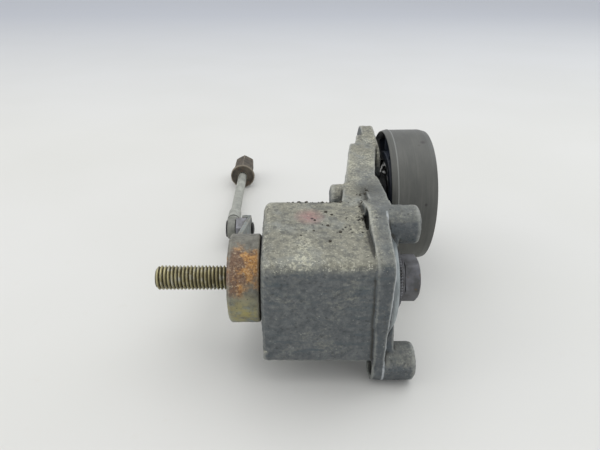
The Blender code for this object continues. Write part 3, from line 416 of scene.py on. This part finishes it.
def ground_steel_surface(name, grey, stretch=(1, 1, 1)):
    s = Surface(name, 0.95)
    lines = s.noise(0.5, 3, 0.6, stretch)
    broad = s.noise(6, 3)
    colour = s.mix(s.step(broad, 0.3, 0.7), rgb(*(int(grey * 0.86),) * 3), rgb(grey, grey, grey))
    s.bump(lines, 0.02)
    return s.finish(colour, s.mix(lines, matt(0.22), matt(0.42)))


def brass_surface():
    s = Surface("cage_brass", 0.95)
    broad = s.noise(4, 4)
    colour = s.mix(s.step(broad, 0.35, 0.65), rgb(150, 118, 62), rgb(198, 164, 96))
    s.bump(s.noise(0.4, 3), 0.03)
    return s.finish(colour, s.mix(broad, matt(0.3), matt(0.5)))


def rubber_surface():
    s = Surface("black_rubber")
    broad = s.noise(5, 4)
    fine = s.noise(0.35, 4, 0.7)
    colour = s.mix(s.step(broad, 0.4, 0.68), rgb(20, 20, 21), rgb(44, 43, 41))
    s.bump(fine, 0.06)
    return s.finish(colour, s.mix(broad, matt(0.62), matt(0.85)))


def bush_surface():
    s = Surface("bush_plastic")
    broad = s.noise(3, 4)
    colour = s.mix(s.step(broad, 0.4, 0.68), rgb(40, 40, 38), rgb(66, 65, 60))
    s.bump(s.noise(0.5, 3), 0.04)
    return s.finish(colour, s.mix(broad, matt(0.5), matt(0.7)))


def pulley_surface():
    """Olive-grey plastic, polished in bands where the belt runs, painted blue-black shade in the
    hollows, and a painted highlight along the rim's crest.
    """
    s = Surface("pulley_plastic")
    tread = s.attribute("tread")
    broad = s.noise(9, 4, 0.55, (0.6, 1.6, 1.6))
    bands = s.noise(2.2, 3, 0.6, (0.35, 9, 9))
    scratches = s.noise(0.5, 4, 0.7, (0.5, 12, 12))
    fine = s.noise(0.45, 4, 0.7)
    run = s.mix(s.step(broad, 0.3, 0.7), rgb(70, 71, 67), rgb(85, 85, 80))
    run = s.mix(s.math("MULTIPLY", s.step(bands, 0.5, 0.72), 0.4), run, rgb(104, 104, 98))
    run = s.mix(s.math("MULTIPLY", s.step(scratches, 0.6, 0.74), 0.35), run, rgb(66, 66, 64))
    # Painted shade: everything but the outer tread is blue-black
    hollow_shade = s.mix(s.step(broad, 0.35, 0.65), rgb(20, 26, 38), rgb(34, 42, 54))
    hollow_shade = s.mix(s.step(fine, 0.66, 0.78), hollow_shade, rgb(66, 72, 78))
    colour = s.mix(tread, hollow_shade, run)
    # A painted highlight along the rim's crest, from the edge attribute
    edge = s.step(s.math("ADD", s.attribute("edge"), s.math("MULTIPLY", fine, 0.5)), 0.55, 1.0)
    edge = s.math("MULTIPLY", edge, s.math("MULTIPLY", tread, 0.4))
    colour = s.mix(edge, colour, rgb(150, 152, 148))
    marks = s.math("MULTIPLY", s.step(s.cells(7.5), 0.13, 0.06), s.step(s.noise(11, 2), 0.5, 0.6))
    colour = s.mix(s.math("MULTIPLY", marks, 0.8), colour, rgb(44, 38, 36))
    dent = s.spot((91 * MM, 68 * MM, 35 * MM), 0.5 * MM, 1.1 * MM)
    colour = s.mix(s.math("MULTIPLY", dent, 0.8), colour, rgb(48, 40, 42))
    roughness = s.mix(s.step(bands, 0.35, 0.7), matt(0.4), matt(0.55))
    s.bump(scratches, 0.03)
    s.bump(fine, 0.04)
    return s.finish(colour, roughness)


def crumb_surface():
    s = Surface("dry_grime")
    fine = s.noise(0.4, 4, 0.7)
    colour = s.mix(s.step(fine, 0.4, 0.6), rgb(34, 32, 29), rgb(84, 80, 70))
    s.bump(fine, 0.15)
    return s.finish(colour, s.mix(fine, matt(0.8), matt(0.95)))


def floor_surface():
    s = Surface("pale_table")
    broad = s.noise(160, 2, 0.5)
    fine = s.noise(7, 3, 0.5)
    colour = s.mix(s.step(broad, 0.35, 0.65), rgb(209, 208, 203), rgb(212, 211, 207))
    colour = s.mix(s.math("MULTIPLY", s.step(fine, 0.66, 0.76), 0.25), colour, rgb(206, 203, 196))
    # Painted falloff of light: the floor turns greyer and bluer far behind the piece
    far = s.step(s.y, 0.3, 1.5)
    colour = s.mix(s.math("MULTIPLY", far, 0.8), colour, rgb(186, 190, 200))
    return s.finish(colour, s.mix(broad, matt(0.5), matt(0.56)))


# Meshes


def to_object(name, bm, material, smooth=40):
    bmesh.ops.recalc_face_normals(bm, faces=bm.faces)
    mesh = bpy.data.meshes.new(name)
    bm.to_mesh(mesh)
    bm.free()
    mesh.shade_smooth()
    mesh.set_sharp_from_angle(angle=math.radians(smooth))
    mesh.materials.append(material)
    obj = bpy.data.objects.new(name, mesh)
    bpy.context.scene.collection.objects.link(obj)
    return obj


def float_attribute(mesh, name, values):
    attribute = mesh.attributes.get(name) or mesh.attributes.new(name, "FLOAT", "POINT")
    attribute.data.foreach_set("value", np.asarray(values, np.float32))


def circle(centre, radius, steps):
    turns = [2 * math.pi * i / steps for i in range(steps)]
    return [(centre[0] + radius * math.cos(a), centre[1] + radius * math.sin(a)) for a in turns]


def band(circles, steps=40):
    """The outline of a band stretched round circles, each as (centre, radius)."""
    points = sorted({p for centre, radius in circles for p in circle(centre, radius, steps)})

    def chain(ordered):
        kept = []
        for p in ordered:
            while len(kept) > 1 and (
                (kept[-1][0] - kept[-2][0]) * (p[1] - kept[-2][1])
                <= (kept[-1][1] - kept[-2][1]) * (p[0] - kept[-2][0])
            ):
                kept.pop()
            kept.append(p)
        return kept[:-1]

    return chain(points) + chain(points[::-1])


def add_loft(bm, loops, capped=True):
    """Faces from each loop to the next. Without caps, the last loop joins the first."""
    rings = [[bm.verts.new(p) for p in loop] for loop in loops]
    count = len(rings[0])
    for first, second in zip(rings, rings[1:] if capped else rings[1:] + rings[:1]):
        for i in range(count):
            j = (i + 1) % count
            bm.faces.new((first[i], first[j], second[j], second[i]))
    if capped:
        bm.faces.new(rings[0])
        bm.faces.new(rings[-1][::-1])


def add_prism(bm, outline, back, front):
    """The outline's solid between two faces, each given as X for a place (y, z)."""
    add_loft(bm, [[(face(y, z), y, z) for y, z in outline] for face in (back, front)])


def add_turned(bm, profile, centre, steps, closed=False):
    """Turns (x, radius) points about an axis along X. An open profile has its ends on the axis."""
    rings = []
    for x, radius in profile:
        if radius == 0:
            rings.append([bm.verts.new((x, *centre))] * steps)
        else:
            rings.append([bm.verts.new((x, y, z)) for y, z in circle(centre, radius, steps)])
    pairs = list(zip(rings, rings[1:])) + ([(rings[-1], rings[0])] if closed else [])
    for first, second in pairs:
        for i in range(steps):
            j = (i + 1) % steps
            corners = list(dict.fromkeys((first[i], first[j], second[j], second[i])))
            if len(corners) > 2:
                bm.faces.new(corners)


def rounded(profile, radius, steps=4, closed=True):
    """Rounds each corner of an (x, radius) profile, as far as its sides have room."""
    room = 0.45  # the share of a side that one corner may take
    points = []
    count = len(profile)
    for i, corner in enumerate(profile):
        if not closed and i in (0, count - 1):
            points.append(corner)
            continue
        here = Vector(corner)
        before = Vector(profile[i - 1]) - here
        after = Vector(profile[(i + 1) % count]) - here
        reach = min(radius, before.length * room, after.length * room)
        start = here + before.normalized() * reach
        end = here + after.normalized() * reach
        for step in range(steps + 1):
            t = step / steps
            points.append(tuple((1 - t) ** 2 * start + 2 * t * (1 - t) * here + t * t * end))
    return points


def add_copy(bm, node):
    """A CAD node's mesh, welded, with its faces as they are."""
    before = len(bm.verts)
    bm.from_mesh(node.data)
    bm.verts.ensure_lookup_table()
    bmesh.ops.remove_doubles(bm, verts=bm.verts[before:], dist=0.001 * MM)


def edges_of(mesh):
    pairs = np.empty(len(mesh.edges) * 2, np.int32)
    mesh.edges.foreach_get("vertices", pairs)
    return pairs.reshape(-1, 2)


def relaxed(points, edges, times, share=0.5):
    """Moves each point towards the mean of its neighbours."""
    count = len(points)
    degree = np.bincount(edges.ravel(), minlength=count).astype(float)[:, None]
    for _ in range(times):
        total = np.empty_like(points)
        for axis in range(3):
            near = points[:, axis]
            total[:, axis] = np.bincount(edges[:, 0], near[edges[:, 1]], count)
            total[:, axis] += np.bincount(edges[:, 1], near[edges[:, 0]], count)
        points = points + share * (total / degree - points)
    return points


def fine_piece(name, bm, voxel, material, smoothing, relief, wear_scale):
    """Fuses overlapping solids, blends their joints, adds a relief, and marks edges and corners.

    voxel and wear_scale, the swell that counts as a full edge, are in millimetres.
    relief is a run of (size, depth) in millimetres, for noise along the normals.
    """
    wear_reach, wear_blend = 14, 2  # how many rounds of relaxing find the swell, and even it out
    rough = bpy.data.meshes.new(name + "_rough")
    bm.to_mesh(rough)
    bm.free()
    obj = bpy.data.objects.new(name, rough)
    bpy.context.scene.collection.objects.link(obj)
    modifier = obj.modifiers.new("fuse", "REMESH")
    modifier.mode = "VOXEL"
    modifier.voxel_size = voxel * MM
    graph = bpy.context.evaluated_depsgraph_get()
    mesh = bpy.data.meshes.new_from_object(obj.evaluated_get(graph))
    obj.modifiers.clear()
    obj.data = mesh
    mesh.name = name
    bpy.data.meshes.remove(rough)
    edges = edges_of(mesh)
    points = np.empty(len(mesh.vertices) * 3, np.float32)
    mesh.vertices.foreach_get("co", points)
    points = relaxed(points.reshape(-1, 3).astype(float), edges, smoothing)
    mesh.vertices.foreach_set("co", points.astype(np.float32).ravel())
    mesh.update()
    normals = np.array([n.vector for n in mesh.vertex_normals])
    swell = ((relaxed(points, edges, wear_reach) - points) * normals).sum(1) / (wear_scale * MM)
    swell = relaxed(np.repeat(swell[:, None], 3, 1), edges, wear_blend)[:, 0]
    float_attribute(mesh, "edge", np.clip(-swell, 0, 1))
    float_attribute(mesh, "corner", np.clip(swell, 0, 1))
    lift = np.zeros(len(points))
    for size, depth in relief:
        scale = 1 / (size * MM)
        lift += depth * MM * np.array([noise.noise(Vector(p) * scale) for p in points])
    points += normals * lift[:, None]
    mesh.vertices.foreach_set("co", points.astype(np.float32).ravel())
    mesh.update()
    mesh.shade_smooth()
    mesh.materials.clear()
    mesh.materials.append(material)
    return obj


# The cast housing with its arm


def add_sharp_corner(bm, turn):
    """Fills out a rounded corner of the housing. turn is its direction from the bolt's axis."""
    reach = HOUSING_HALF * math.sqrt(2)
    corner = (reach * math.cos(turn), reach * math.sin(turn))

    def inward(distance, aside):
        angle = turn + math.pi + math.radians(aside)
        return corner[0] + distance * math.cos(angle), corner[1] + distance * math.sin(angle)

    tip = (inward(1.7 * MM, 0), 1.15 * MM)
    inside = [inward(5 * MM, -45), inward(7 * MM, 0), inward(5 * MM, 45)]
    outline = band([tip] + [(place, 0.05 * MM) for place in inside], 16)
    add_prism(bm, outline, lambda y, z: HOUSING_BACK + 0.2 * MM, lambda y, z: FLANGE_FRONT - 4 * MM)


def casting_pieces(frame, material):
    """The casting, with sharper lower corners and a shoulder on the arm, and its turned boss."""

    def arm_face(depth):
        return lambda y, z: ARM_FACE[0] + ARM_SLANT * (y - ARM_FACE[1]) - depth

    bm = bmesh.new()
    add_copy(bm, frame["nodes"]["housing_arm"])
    for turn in (math.radians(229), math.radians(319)):
        add_sharp_corner(bm, turn)
    shoulder = band([((84 * MM, 17.3 * MM), 10.6 * MM), ((95 * MM, 20 * MM), 9.6 * MM)])
    add_prism(bm, shoulder, arm_face(11 * MM), arm_face(2 * MM))
    casting = fine_piece(
        "casting", bm, 0.45, material, 4, [(9.0, 0.22), (2.4, 0.16), (1.0, 0.1)], 0.2
    )
    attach(casting, "arm")
    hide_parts("housing_arm")
    profile = [
        (FLANGE_FRONT + 0.1 * MM, 24.9 * MM), (FLANGE_FRONT + 3.6 * MM, 20.0 * MM),
        (FLANGE_FRONT + 3.8 * MM, 19.6 * MM), (FLANGE_FRONT + 3.8 * MM, 16 * MM),
        (FLANGE_FRONT + 0.4 * MM, 16 * MM),
    ]
    bm = bmesh.new()
    add_turned(bm, rounded(profile, 0.2 * MM), (0.0, 0.0), 120, closed=True)
    boss = to_object("turned_boss", bm, turned_boss_surface())
    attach(boss, "arm")
    return casting


def crumbs(casting, material):
    """Grime that lies in the corners and along the far top edge of the housing."""
    tree = BVHTree.FromPolygons(
        [v.co for v in casting.data.vertices], [p.vertices for p in casting.data.polygons]
    )
    bm = bmesh.new()
    drop_height = 80
    # Each run of crumbs: where it starts and ends as (x, y), how many, and how far they stray
    runs = [
        ((22, 20.5), (48, 20.0), 34, 1.5),
        ((55, 25), (57, 30), 16, 2.4),
        ((53, 4), (54, 21), 14, 0.9),
        ((30, -14), (50, 16), 14, 9.0),
    ]
    for index in range(sum(run[2] for run in runs)):
        left = index
        for start, end, count, spread in runs:
            if left < count:
                break
            left -= count
        drift = noise.random_vector()
        share = (left + 0.5) / count
        x = start[0] + (end[0] - start[0]) * share + drift.x * spread
        y = start[1] + (end[1] - start[1]) * share + drift.y * spread
        place, _, _, _ = tree.ray_cast(Vector((x, y, drop_height)) * MM, Vector((0, 0, -1)))
        if place is None:
            continue
        size = (0.2 + 0.5 * noise.random() ** 2) * MM
        made = bmesh.ops.create_icosphere(bm, subdivisions=2, radius=size)["verts"]
        for vert in made:
            vert.co *= 1 + 0.6 * noise.noise(vert.co * (1.4 / size) + drift * 9)
            vert.co.z *= 0.75
            vert.co += place
    obj = to_object("grime_crumbs", bm, material, 60)
    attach(obj, "arm")


# Bolts, nuts and threads


def threaded_rod(name, back, front, radius, pitch, depth, material):
    """A real helical thread about the X axis, with chamfered ends."""
    steps = 56
    rows = int((front - back) / pitch * 10)
    root_flat, flank = 0.1, 0.74  # shares of half a pitch
    loops = []
    roots = []
    for row in range(rows + 1):
        x = back + (front - back) * row / rows
        chamfered = radius - depth * 1.3 + min(x - back, front - x)
        loop = []
        for i in range(steps):
            angle = 2 * math.pi * i / steps
            phase = (x / pitch - i / steps) % 1.0
            rise = min(1.0, max(0.0, (abs(2 * phase - 1) - root_flat) / flank))
            r = min(radius - depth * (1 - rise), chamfered)
            loop.append((x, r * math.cos(angle), r * math.sin(angle)))
            roots.append(1 - rise)
        loops.append(loop)
    bm = bmesh.new()
    add_loft(bm, loops)
    obj = to_object(name, bm, material, 75)
    float_attribute(obj.data, "root", roots)
    return obj


def add_hex_head(bm, width, back, front, turn):
    """A forged hex on the X axis: its flats meet a cone at the slightly dished front face."""
    steps = 72
    flat = width / 2
    forged = 0.985  # the share of the full hexagon that its blunt corners and its rear edge reach
    blunt = width / math.sqrt(3) * forged
    slope = math.tan(math.radians(30))
    levels = [(back, forged), (back + 0.15 * MM, 1.0)]
    levels += [(front - below * MM, 1.0) for below in (1.6, 1.2, 0.9, 0.6, 0.3, 0)]
    loops = []
    for x, share in levels:
        cone = flat * 0.95 + (front - x) / slope
        loop = []
        for i in range(steps):
            angle = 2 * math.pi * i / steps
            local = (angle - turn) % (math.pi / 3) - math.pi / 6
            r = min(min(flat / math.cos(local), blunt) * share, cone)
            loop.append((x, r * math.cos(angle), r * math.sin(angle)))
        loops.append(loop)
    face = loops[-1]
    for sunk, share in ((0.02 * MM, 0.86), (0.25 * MM, 0.72)):
        loops.append([(front - sunk, y * share, z * share) for _, y, z in face])
    add_loft(bm, loops)


def bolt_pieces():
    """The central bolt's threaded end, and its head with the shank."""
    lo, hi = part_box("central_bolt")
    radius, pitch, depth = 5.0 * MM, 1.5 * MM, 0.86 * MM
    thread_end = lo.x + 42 * MM
    shank_start = lo.x + 40 * MM
    shank_radius = 4.85 * MM
    thread = threaded_rod(
        "bolt_thread", lo.x, thread_end, radius, pitch, depth, zinc_thread_surface()
    )
    bm = bmesh.new()
    head_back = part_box("plain_washer")[1].x + 0.3 * MM
    shank_end = head_back + MM
    add_hex_head(bm, 17 * MM, head_back, hi.x, math.radians(-2))
    profile = [
        (shank_start, 0), (shank_start, shank_radius), (shank_end, shank_radius), (shank_end, 0),
    ]
    add_turned(bm, profile, (0.0, 0.0), 40)
    head = to_object("bolt_head", bm, dark_steel_surface("dark_bolt_steel", 112, 0.6))
    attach(thread, "clamp")
    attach(head, "clamp")
    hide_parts("central_bolt")


def disc_piece():
    lo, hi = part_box("front_disc")
    rim = hi.z
    bore = 5.4 * MM
    profile = [
        (lo.x, bore), (lo.x, rim - 0.1 * MM), (lo.x + 0.35 * MM, rim),
        (lo.x + 0.7 * MM, rim - 0.15 * MM), (lo.x + 0.8 * MM, rim - 1.2 * MM),
        (hi.x - 0.15 * MM, rim - 2.4 * MM), (hi.x, rim - 3.4 * MM), (hi.x, bore),
    ]
    bm = bmesh.new()
    add_turned(bm, rounded(profile, 0.25 * MM), (0.0, 0.0), 96, closed=True)
    disc = to_object("dished_disc", bm, ground_steel_surface("bright_zinc", 196, (4, 1, 1)))
    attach(disc, "clamp")
    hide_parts("front_disc")


def washer_piece():
    """The washer under the bolt's head, with teeth round its rim."""
    lo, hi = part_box("serrated_washer")
    teeth = 66
    tooth = (0.0, 0.12 * MM, 0.62 * MM, 0.5 * MM)  # how far in the rim is along one tooth
    steps = teeth * len(tooth)
    chamfer = 0.18 * MM
    sunk = 0.02 * MM
    loops = []
    for x, drop in ((lo.x, chamfer), (lo.x + chamfer, 0), (hi.x - chamfer, 0), (hi.x, chamfer)):
        loop = []
        for i in range(steps):
            r = hi.z - tooth[i % len(tooth)] - drop
            angle = 2 * math.pi * i / steps
            loop.append((x, r * math.cos(angle), r * math.sin(angle)))
        loops.append(loop)
    for x, share in ((hi.x - sunk, 0.8), (hi.x - sunk, 0.55), (lo.x + sunk, 1.0)):
        loops.append([(x, y * share, z * share) for _, y, z in loops[-1]])
    bm = bmesh.new()
    add_loft(bm, loops, capped=False)
    washer = to_object("toothed_washer", bm, dark_steel_surface("tooth_steel", 120))
    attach(washer, "clamp")
    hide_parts("serrated_washer")


# Lever, rod and nuts


def lever_piece(frame):
    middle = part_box("tension_lever")[1].x * 0.5
    rust_place = (middle, -11 * MM, 11.5 * MM)
    yellow_place = (middle, -15 * MM, -6 * MM)
    bm = bmesh.new()
    add_copy(bm, frame["nodes"]["tension_lever"])
    material = rusty_hub_surface(rust_place, yellow_place)
    lever = fine_piece("lever", bm, 0.36, material, 2, [(6.0, 0.1), (1.4, 0.1), (0.7, 0.06)], 0.14)
    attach(lever, "lever")
    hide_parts("tension_lever")


def swivel_pieces(frame):
    lo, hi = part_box("stud_nut")
    pivot = Vector((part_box("swivel_stud")[0].x, (lo.y + hi.y) / 2, (lo.z + hi.z) / 2))
    zinc = rod_surface(pivot)
    finishes = {
        "swivel_stud": dark_steel_surface("greasy_stud_steel", 66, 0.5),
        "stud_nut": dark_steel_surface("stud_nut_steel", 138, 0.5),
    }
    for node, finish in finishes.items():
        bm = bmesh.new()
        add_copy(bm, frame["nodes"][node])
        piece = fine_piece(node + "_detail", bm, 0.2, finish, 3, [(0.9, 0.05)], 0.09)
        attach(piece, "lever")
        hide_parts(node)
    bm = bmesh.new()
    add_copy(bm, frame["nodes"]["tension_rod"])
    rod = fine_piece("rod", bm, 0.27, zinc, 4, [(4.0, 0.1), (1.1, 0.07)], 0.12)
    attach(rod, "rod")
    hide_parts("tension_rod")
    bm = bmesh.new()
    add_copy(bm, frame["nodes"]["tension_nut"])
    nut = fine_piece("nut", bm, 0.27, rusty_nut_surface(), 3, [(3.0, 0.14), (0.9, 0.12)], 0.12)
    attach(nut, "nut")
    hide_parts("tension_nut")


# Pulley


def add_ribs(bm, centre, hub, rim, back, front):
    """Straight ribs from the hub to the rim, each running into both."""
    ribs = 12
    size = (front - back - 4.4 * MM, rim - hub + 1.6 * MM, 1.8 * MM)
    for i in range(ribs):
        made = bmesh.ops.create_cube(bm, size=1.0)["verts"]
        turn = math.radians(360 / ribs * i + 15)
        place = Matrix.Translation((0, *centre)) @ Matrix.Rotation(turn, 4, "X")
        place = place @ Matrix.Translation(((back + front) / 2, (hub + rim) / 2, 0))
        bmesh.ops.transform(bm, verts=made, matrix=place @ Matrix.Diagonal((*size, 1)))
        around = {e for v in made for e in v.link_edges}
        bmesh.ops.bevel(bm, geom=list(around), offset=0.35 * MM, segments=2, affect="EDGES")


def wheel_piece(surface):
    """The pulley: a rim, a hub round the bearing, and a web and ribs between them."""
    lo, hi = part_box("pulley_wheel")
    centre = ((lo.y + hi.y) / 2, (lo.z + hi.z) / 2)
    radius = (hi.z - lo.z) / 2
    bearing_lo, bearing_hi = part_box("bearing_outer_ring")
    race = (bearing_hi.z - bearing_lo.z) / 2 + 0.3 * MM
    lip = race - 1.4 * MM
    seat = bearing_lo.x - 0.3 * MM
    back, front = lo.x, hi.x
    edge = radius - 0.9 * MM
    inner_edge = edge - 0.5 * MM
    shoulder = radius - 0.1 * MM
    rim = radius - 3.0 * MM
    hub = race + 3.2 * MM
    hub_foot = hub + 0.8 * MM
    web_back = (back + front) / 2 - 1.5 * MM
    web_front = web_back + 3.0 * MM
    hub_back = bearing_lo.x - 1.4 * MM
    hub_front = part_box("dust_cap")[1].x - 1.4 * MM
    crest_place = 3 * MM
    profile = [
        (hub_back, lip), (hub_back, hub), (web_back, hub_foot), (web_back, rim),
        (back, inner_edge), (back, edge), (back + 2.6 * MM, shoulder), (back + crest_place, radius),
        (back + 3.5 * MM, radius - 0.3 * MM), (front - 3 * MM, shoulder),
        (front, edge), (front, inner_edge), (web_front, rim), (web_front, hub_foot),
        (hub_front, hub), (hub_front, race), (seat, race), (seat, lip),
    ]
    bm = bmesh.new()
    add_turned(bm, rounded(profile, 0.5 * MM), centre, 168, closed=True)
    add_ribs(bm, centre, hub, rim, back, front)
    wheel = to_object("pulley_rim", bm, surface, 50)
    mesh = wheel.data
    reach = [math.hypot(v.co.y - centre[0], v.co.z - centre[1]) for v in mesh.vertices]
    float_attribute(mesh, "tread", [float(r > edge - 0.7 * MM) for r in reach])
    # A painted highlight line on the crest, kept in the edge attribute
    off_crest = [abs(v.co.x - back - crest_place) for v in mesh.vertices]
    crest_highlight = [float(off < 0.3 * MM and r > edge) for off, r in zip(off_crest, reach)]
    float_attribute(mesh, "edge", crest_highlight)
    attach(wheel, "pulley")
    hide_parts("pulley_wheel")


def cap_piece(surface):
    """The dust cap over the pulley's bolt, with a raised ring on its front."""
    lo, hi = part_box("dust_cap")
    wheel_lo, wheel_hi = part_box("pulley_wheel")
    centre = ((wheel_lo.y + wheel_hi.y) / 2, (wheel_lo.z + wheel_hi.z) / 2)
    radius = (hi.z - lo.z) / 2
    back, front = lo.x, hi.x
    inside = radius - 0.9 * MM
    face = front - 0.25 * MM
    profile = [
        (back, inside), (back, radius), (front - 0.9 * MM, radius), (face, radius - 0.7 * MM),
        (face, radius - 3.0 * MM), (front, radius - 3.6 * MM), (front, radius - 5.2 * MM),
        (front - 0.5 * MM, radius - 6.0 * MM), (front - 0.3 * MM, 4 * MM), (face, 0),
        (front - 0.85 * MM, 0), (front - 0.95 * MM, inside),
    ]
    bm = bmesh.new()
    add_turned(bm, profile, centre, 96, closed=True)
    cap = to_object("hub_cap", bm, surface, 30)
    # The cap takes a share of the hollows' painted shade
    float_attribute(cap.data, "tread", [0.6] * len(cap.data.vertices))
    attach(cap, "pulley")
    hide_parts("dust_cap")


# Rubber cords


def cord_pieces(finish):
    """Each cord lies between the core, which its inner side keeps to, and the housing.

    It meets the housing's walls 0.7 of its radius outward.
    """
    for number in range(1, 5):
        node = f"rubber_cord_{number}"
        lo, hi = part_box(node)
        centre = Vector((0, (lo.y + hi.y) / 2, (lo.z + hi.z) / 2))
        outward = centre.normalized()
        radius = (hi.z - lo.z) / 2
        inner = radius * 0.6
        end = 0.8 * MM
        profile = [
            (lo.x, 0), (lo.x, inner), (lo.x, radius), (lo.x + end, radius), (hi.x - end, radius),
            (hi.x, radius), (hi.x, inner), (hi.x, 0),
        ]
        bm = bmesh.new()
        add_turned(bm, rounded(profile, end, closed=False), (centre.y, centre.z), 64)
        # A little thinner than its space, and flatter where it lies on the core
        for vert in bm.verts:
            flat = vert.co - centre
            flat.x = 0
            side = flat.normalized().dot(outward) if flat.length > 0 else 0.0
            flat *= 0.985 - 0.05 * max(0.0, -side) ** 6
            vert.co = Vector((vert.co.x, 0, 0)) + centre + flat
        cord = to_object(f"cord_{number}", bm, finish)
        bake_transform(cord)
        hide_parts(node)


# What stays as the frame has it


def dress_nodes(frame, rubber):
    """Gives each node that still shows its own finish and smooth, slightly broken edges."""
    race = ground_steel_surface("race_steel", 186)
    finishes = {
        "plain_washer": dark_steel_surface("plain_washer_steel", 110),
        "core": ground_steel_surface("core_steel", 150, (6, 1, 1)),
        "rear_seal": rubber,
        "front_bush": bush_surface(),
        "pulley_bolt": dull_zinc_surface("pulley_bolt_zinc", rgb(150, 144, 98), rgb(108, 102, 66)),
        "pulley_washer": ground_steel_surface("retainer_steel", 150),
        "bearing_inner_ring": race,
        "bearing_outer_ring": race,
        "bearing_cage": brass_surface(),
        "bearing_seal_rear": rubber,
        "bearing_seal_front": rubber,
    }
    for name, node in frame["nodes"].items():
        if node.hide_render:
            continue
        ball = name.startswith("bearing_ball")
        node.data.materials.clear()
        node.data.materials.append(race if ball else finishes[name])
        weld = node.modifiers.new("weld", "WELD")
        weld.merge_threshold = 0.001 * MM
        if not ball:
            bevel = node.modifiers.new("bevel", "BEVEL")
            bevel.width = 0.12 * MM
            bevel.segments = 2
            bevel.limit_method = "ANGLE"
            bevel.angle_limit = math.radians(40)
        node.data.shade_smooth()
        node.data.set_sharp_from_angle(angle=math.radians(38))


# Stage


def make_stage():
    lo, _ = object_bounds()
    reach = 25.0
    bm = bmesh.new()
    bmesh.ops.create_grid(bm, x_segments=1, y_segments=1, size=reach)
    floor = to_object("floor", bm, floor_surface())
    floor.location = (0.0, 0.0, lo.z - 0.05 * MM)


def area_light(name, place, target, size, power, colour):
    data = bpy.data.lights.new(name, "AREA")
    data.shape = "RECTANGLE"
    data.size, data.size_y = size
    data.energy = power
    data.color = colour
    light = bpy.data.objects.new(name, data)
    light.location = place
    light.rotation_euler = (Vector(target) - Vector(place)).to_track_quat("-Z", "Y").to_euler()
    bpy.context.scene.collection.objects.link(light)


def make_light():
    middle = (0.03, 0.06, 0.0)
    area_light("ceiling", (0.1, 0.2, 1.25), middle, (1.6, 1.2), 6.2, (1.0, 0.995, 0.98))
    area_light("window", (0.95, 0.6, 0.9), middle, (0.9, 0.9), 2.6, (0.9, 0.95, 1.0))
    area_light("left_wall", (-1.0, -0.1, 0.6), middle, (0.8, 0.8), 2.2, (1.0, 0.98, 0.94))
    world = bpy.data.worlds.new("room")
    world.use_nodes = True
    background = world.node_tree.nodes["Background"]
    background.inputs["Color"].default_value = (0.92, 0.94, 0.97, 1.0)
    background.inputs["Strength"].default_value = 0.86
    bpy.context.scene.world = world


def make_camera():
    data = bpy.data.cameras.new("camera")
    data.sensor_width = 36.0
    data.lens = 30.0
    data.shift_x = 0.0267
    camera = bpy.data.objects.new("camera", data)
    camera.location = (0.0218, -0.1713, 0.1155)
    camera.rotation_euler = (math.radians(62), 0.0, 0.0)
    data.clip_start = 0.01
    bpy.context.scene.collection.objects.link(camera)
    bpy.context.scene.camera = camera


def corners(bounds):
    return [list(map(float, corner)) for corner in bounds]


def main():
    for obj in list(bpy.data.objects):
        bpy.data.objects.remove(obj, do_unlink=True)
    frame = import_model()
    bpy.context.scene.view_settings.view_transform = "Standard"
    noise.seed_set(7)
    casting = casting_pieces(frame, casting_surface())
    crumbs(casting, crumb_surface())
    bolt_pieces()
    disc_piece()
    washer_piece()
    lever_piece(frame)
    swivel_pieces(frame)
    pulley_finish = pulley_surface()
    wheel_piece(pulley_finish)
    cap_piece(pulley_finish)
    rubber = rubber_surface()
    cord_pieces(rubber)
    dress_nodes(frame, rubber)
    make_stage()
    make_light()
    make_camera()


main()
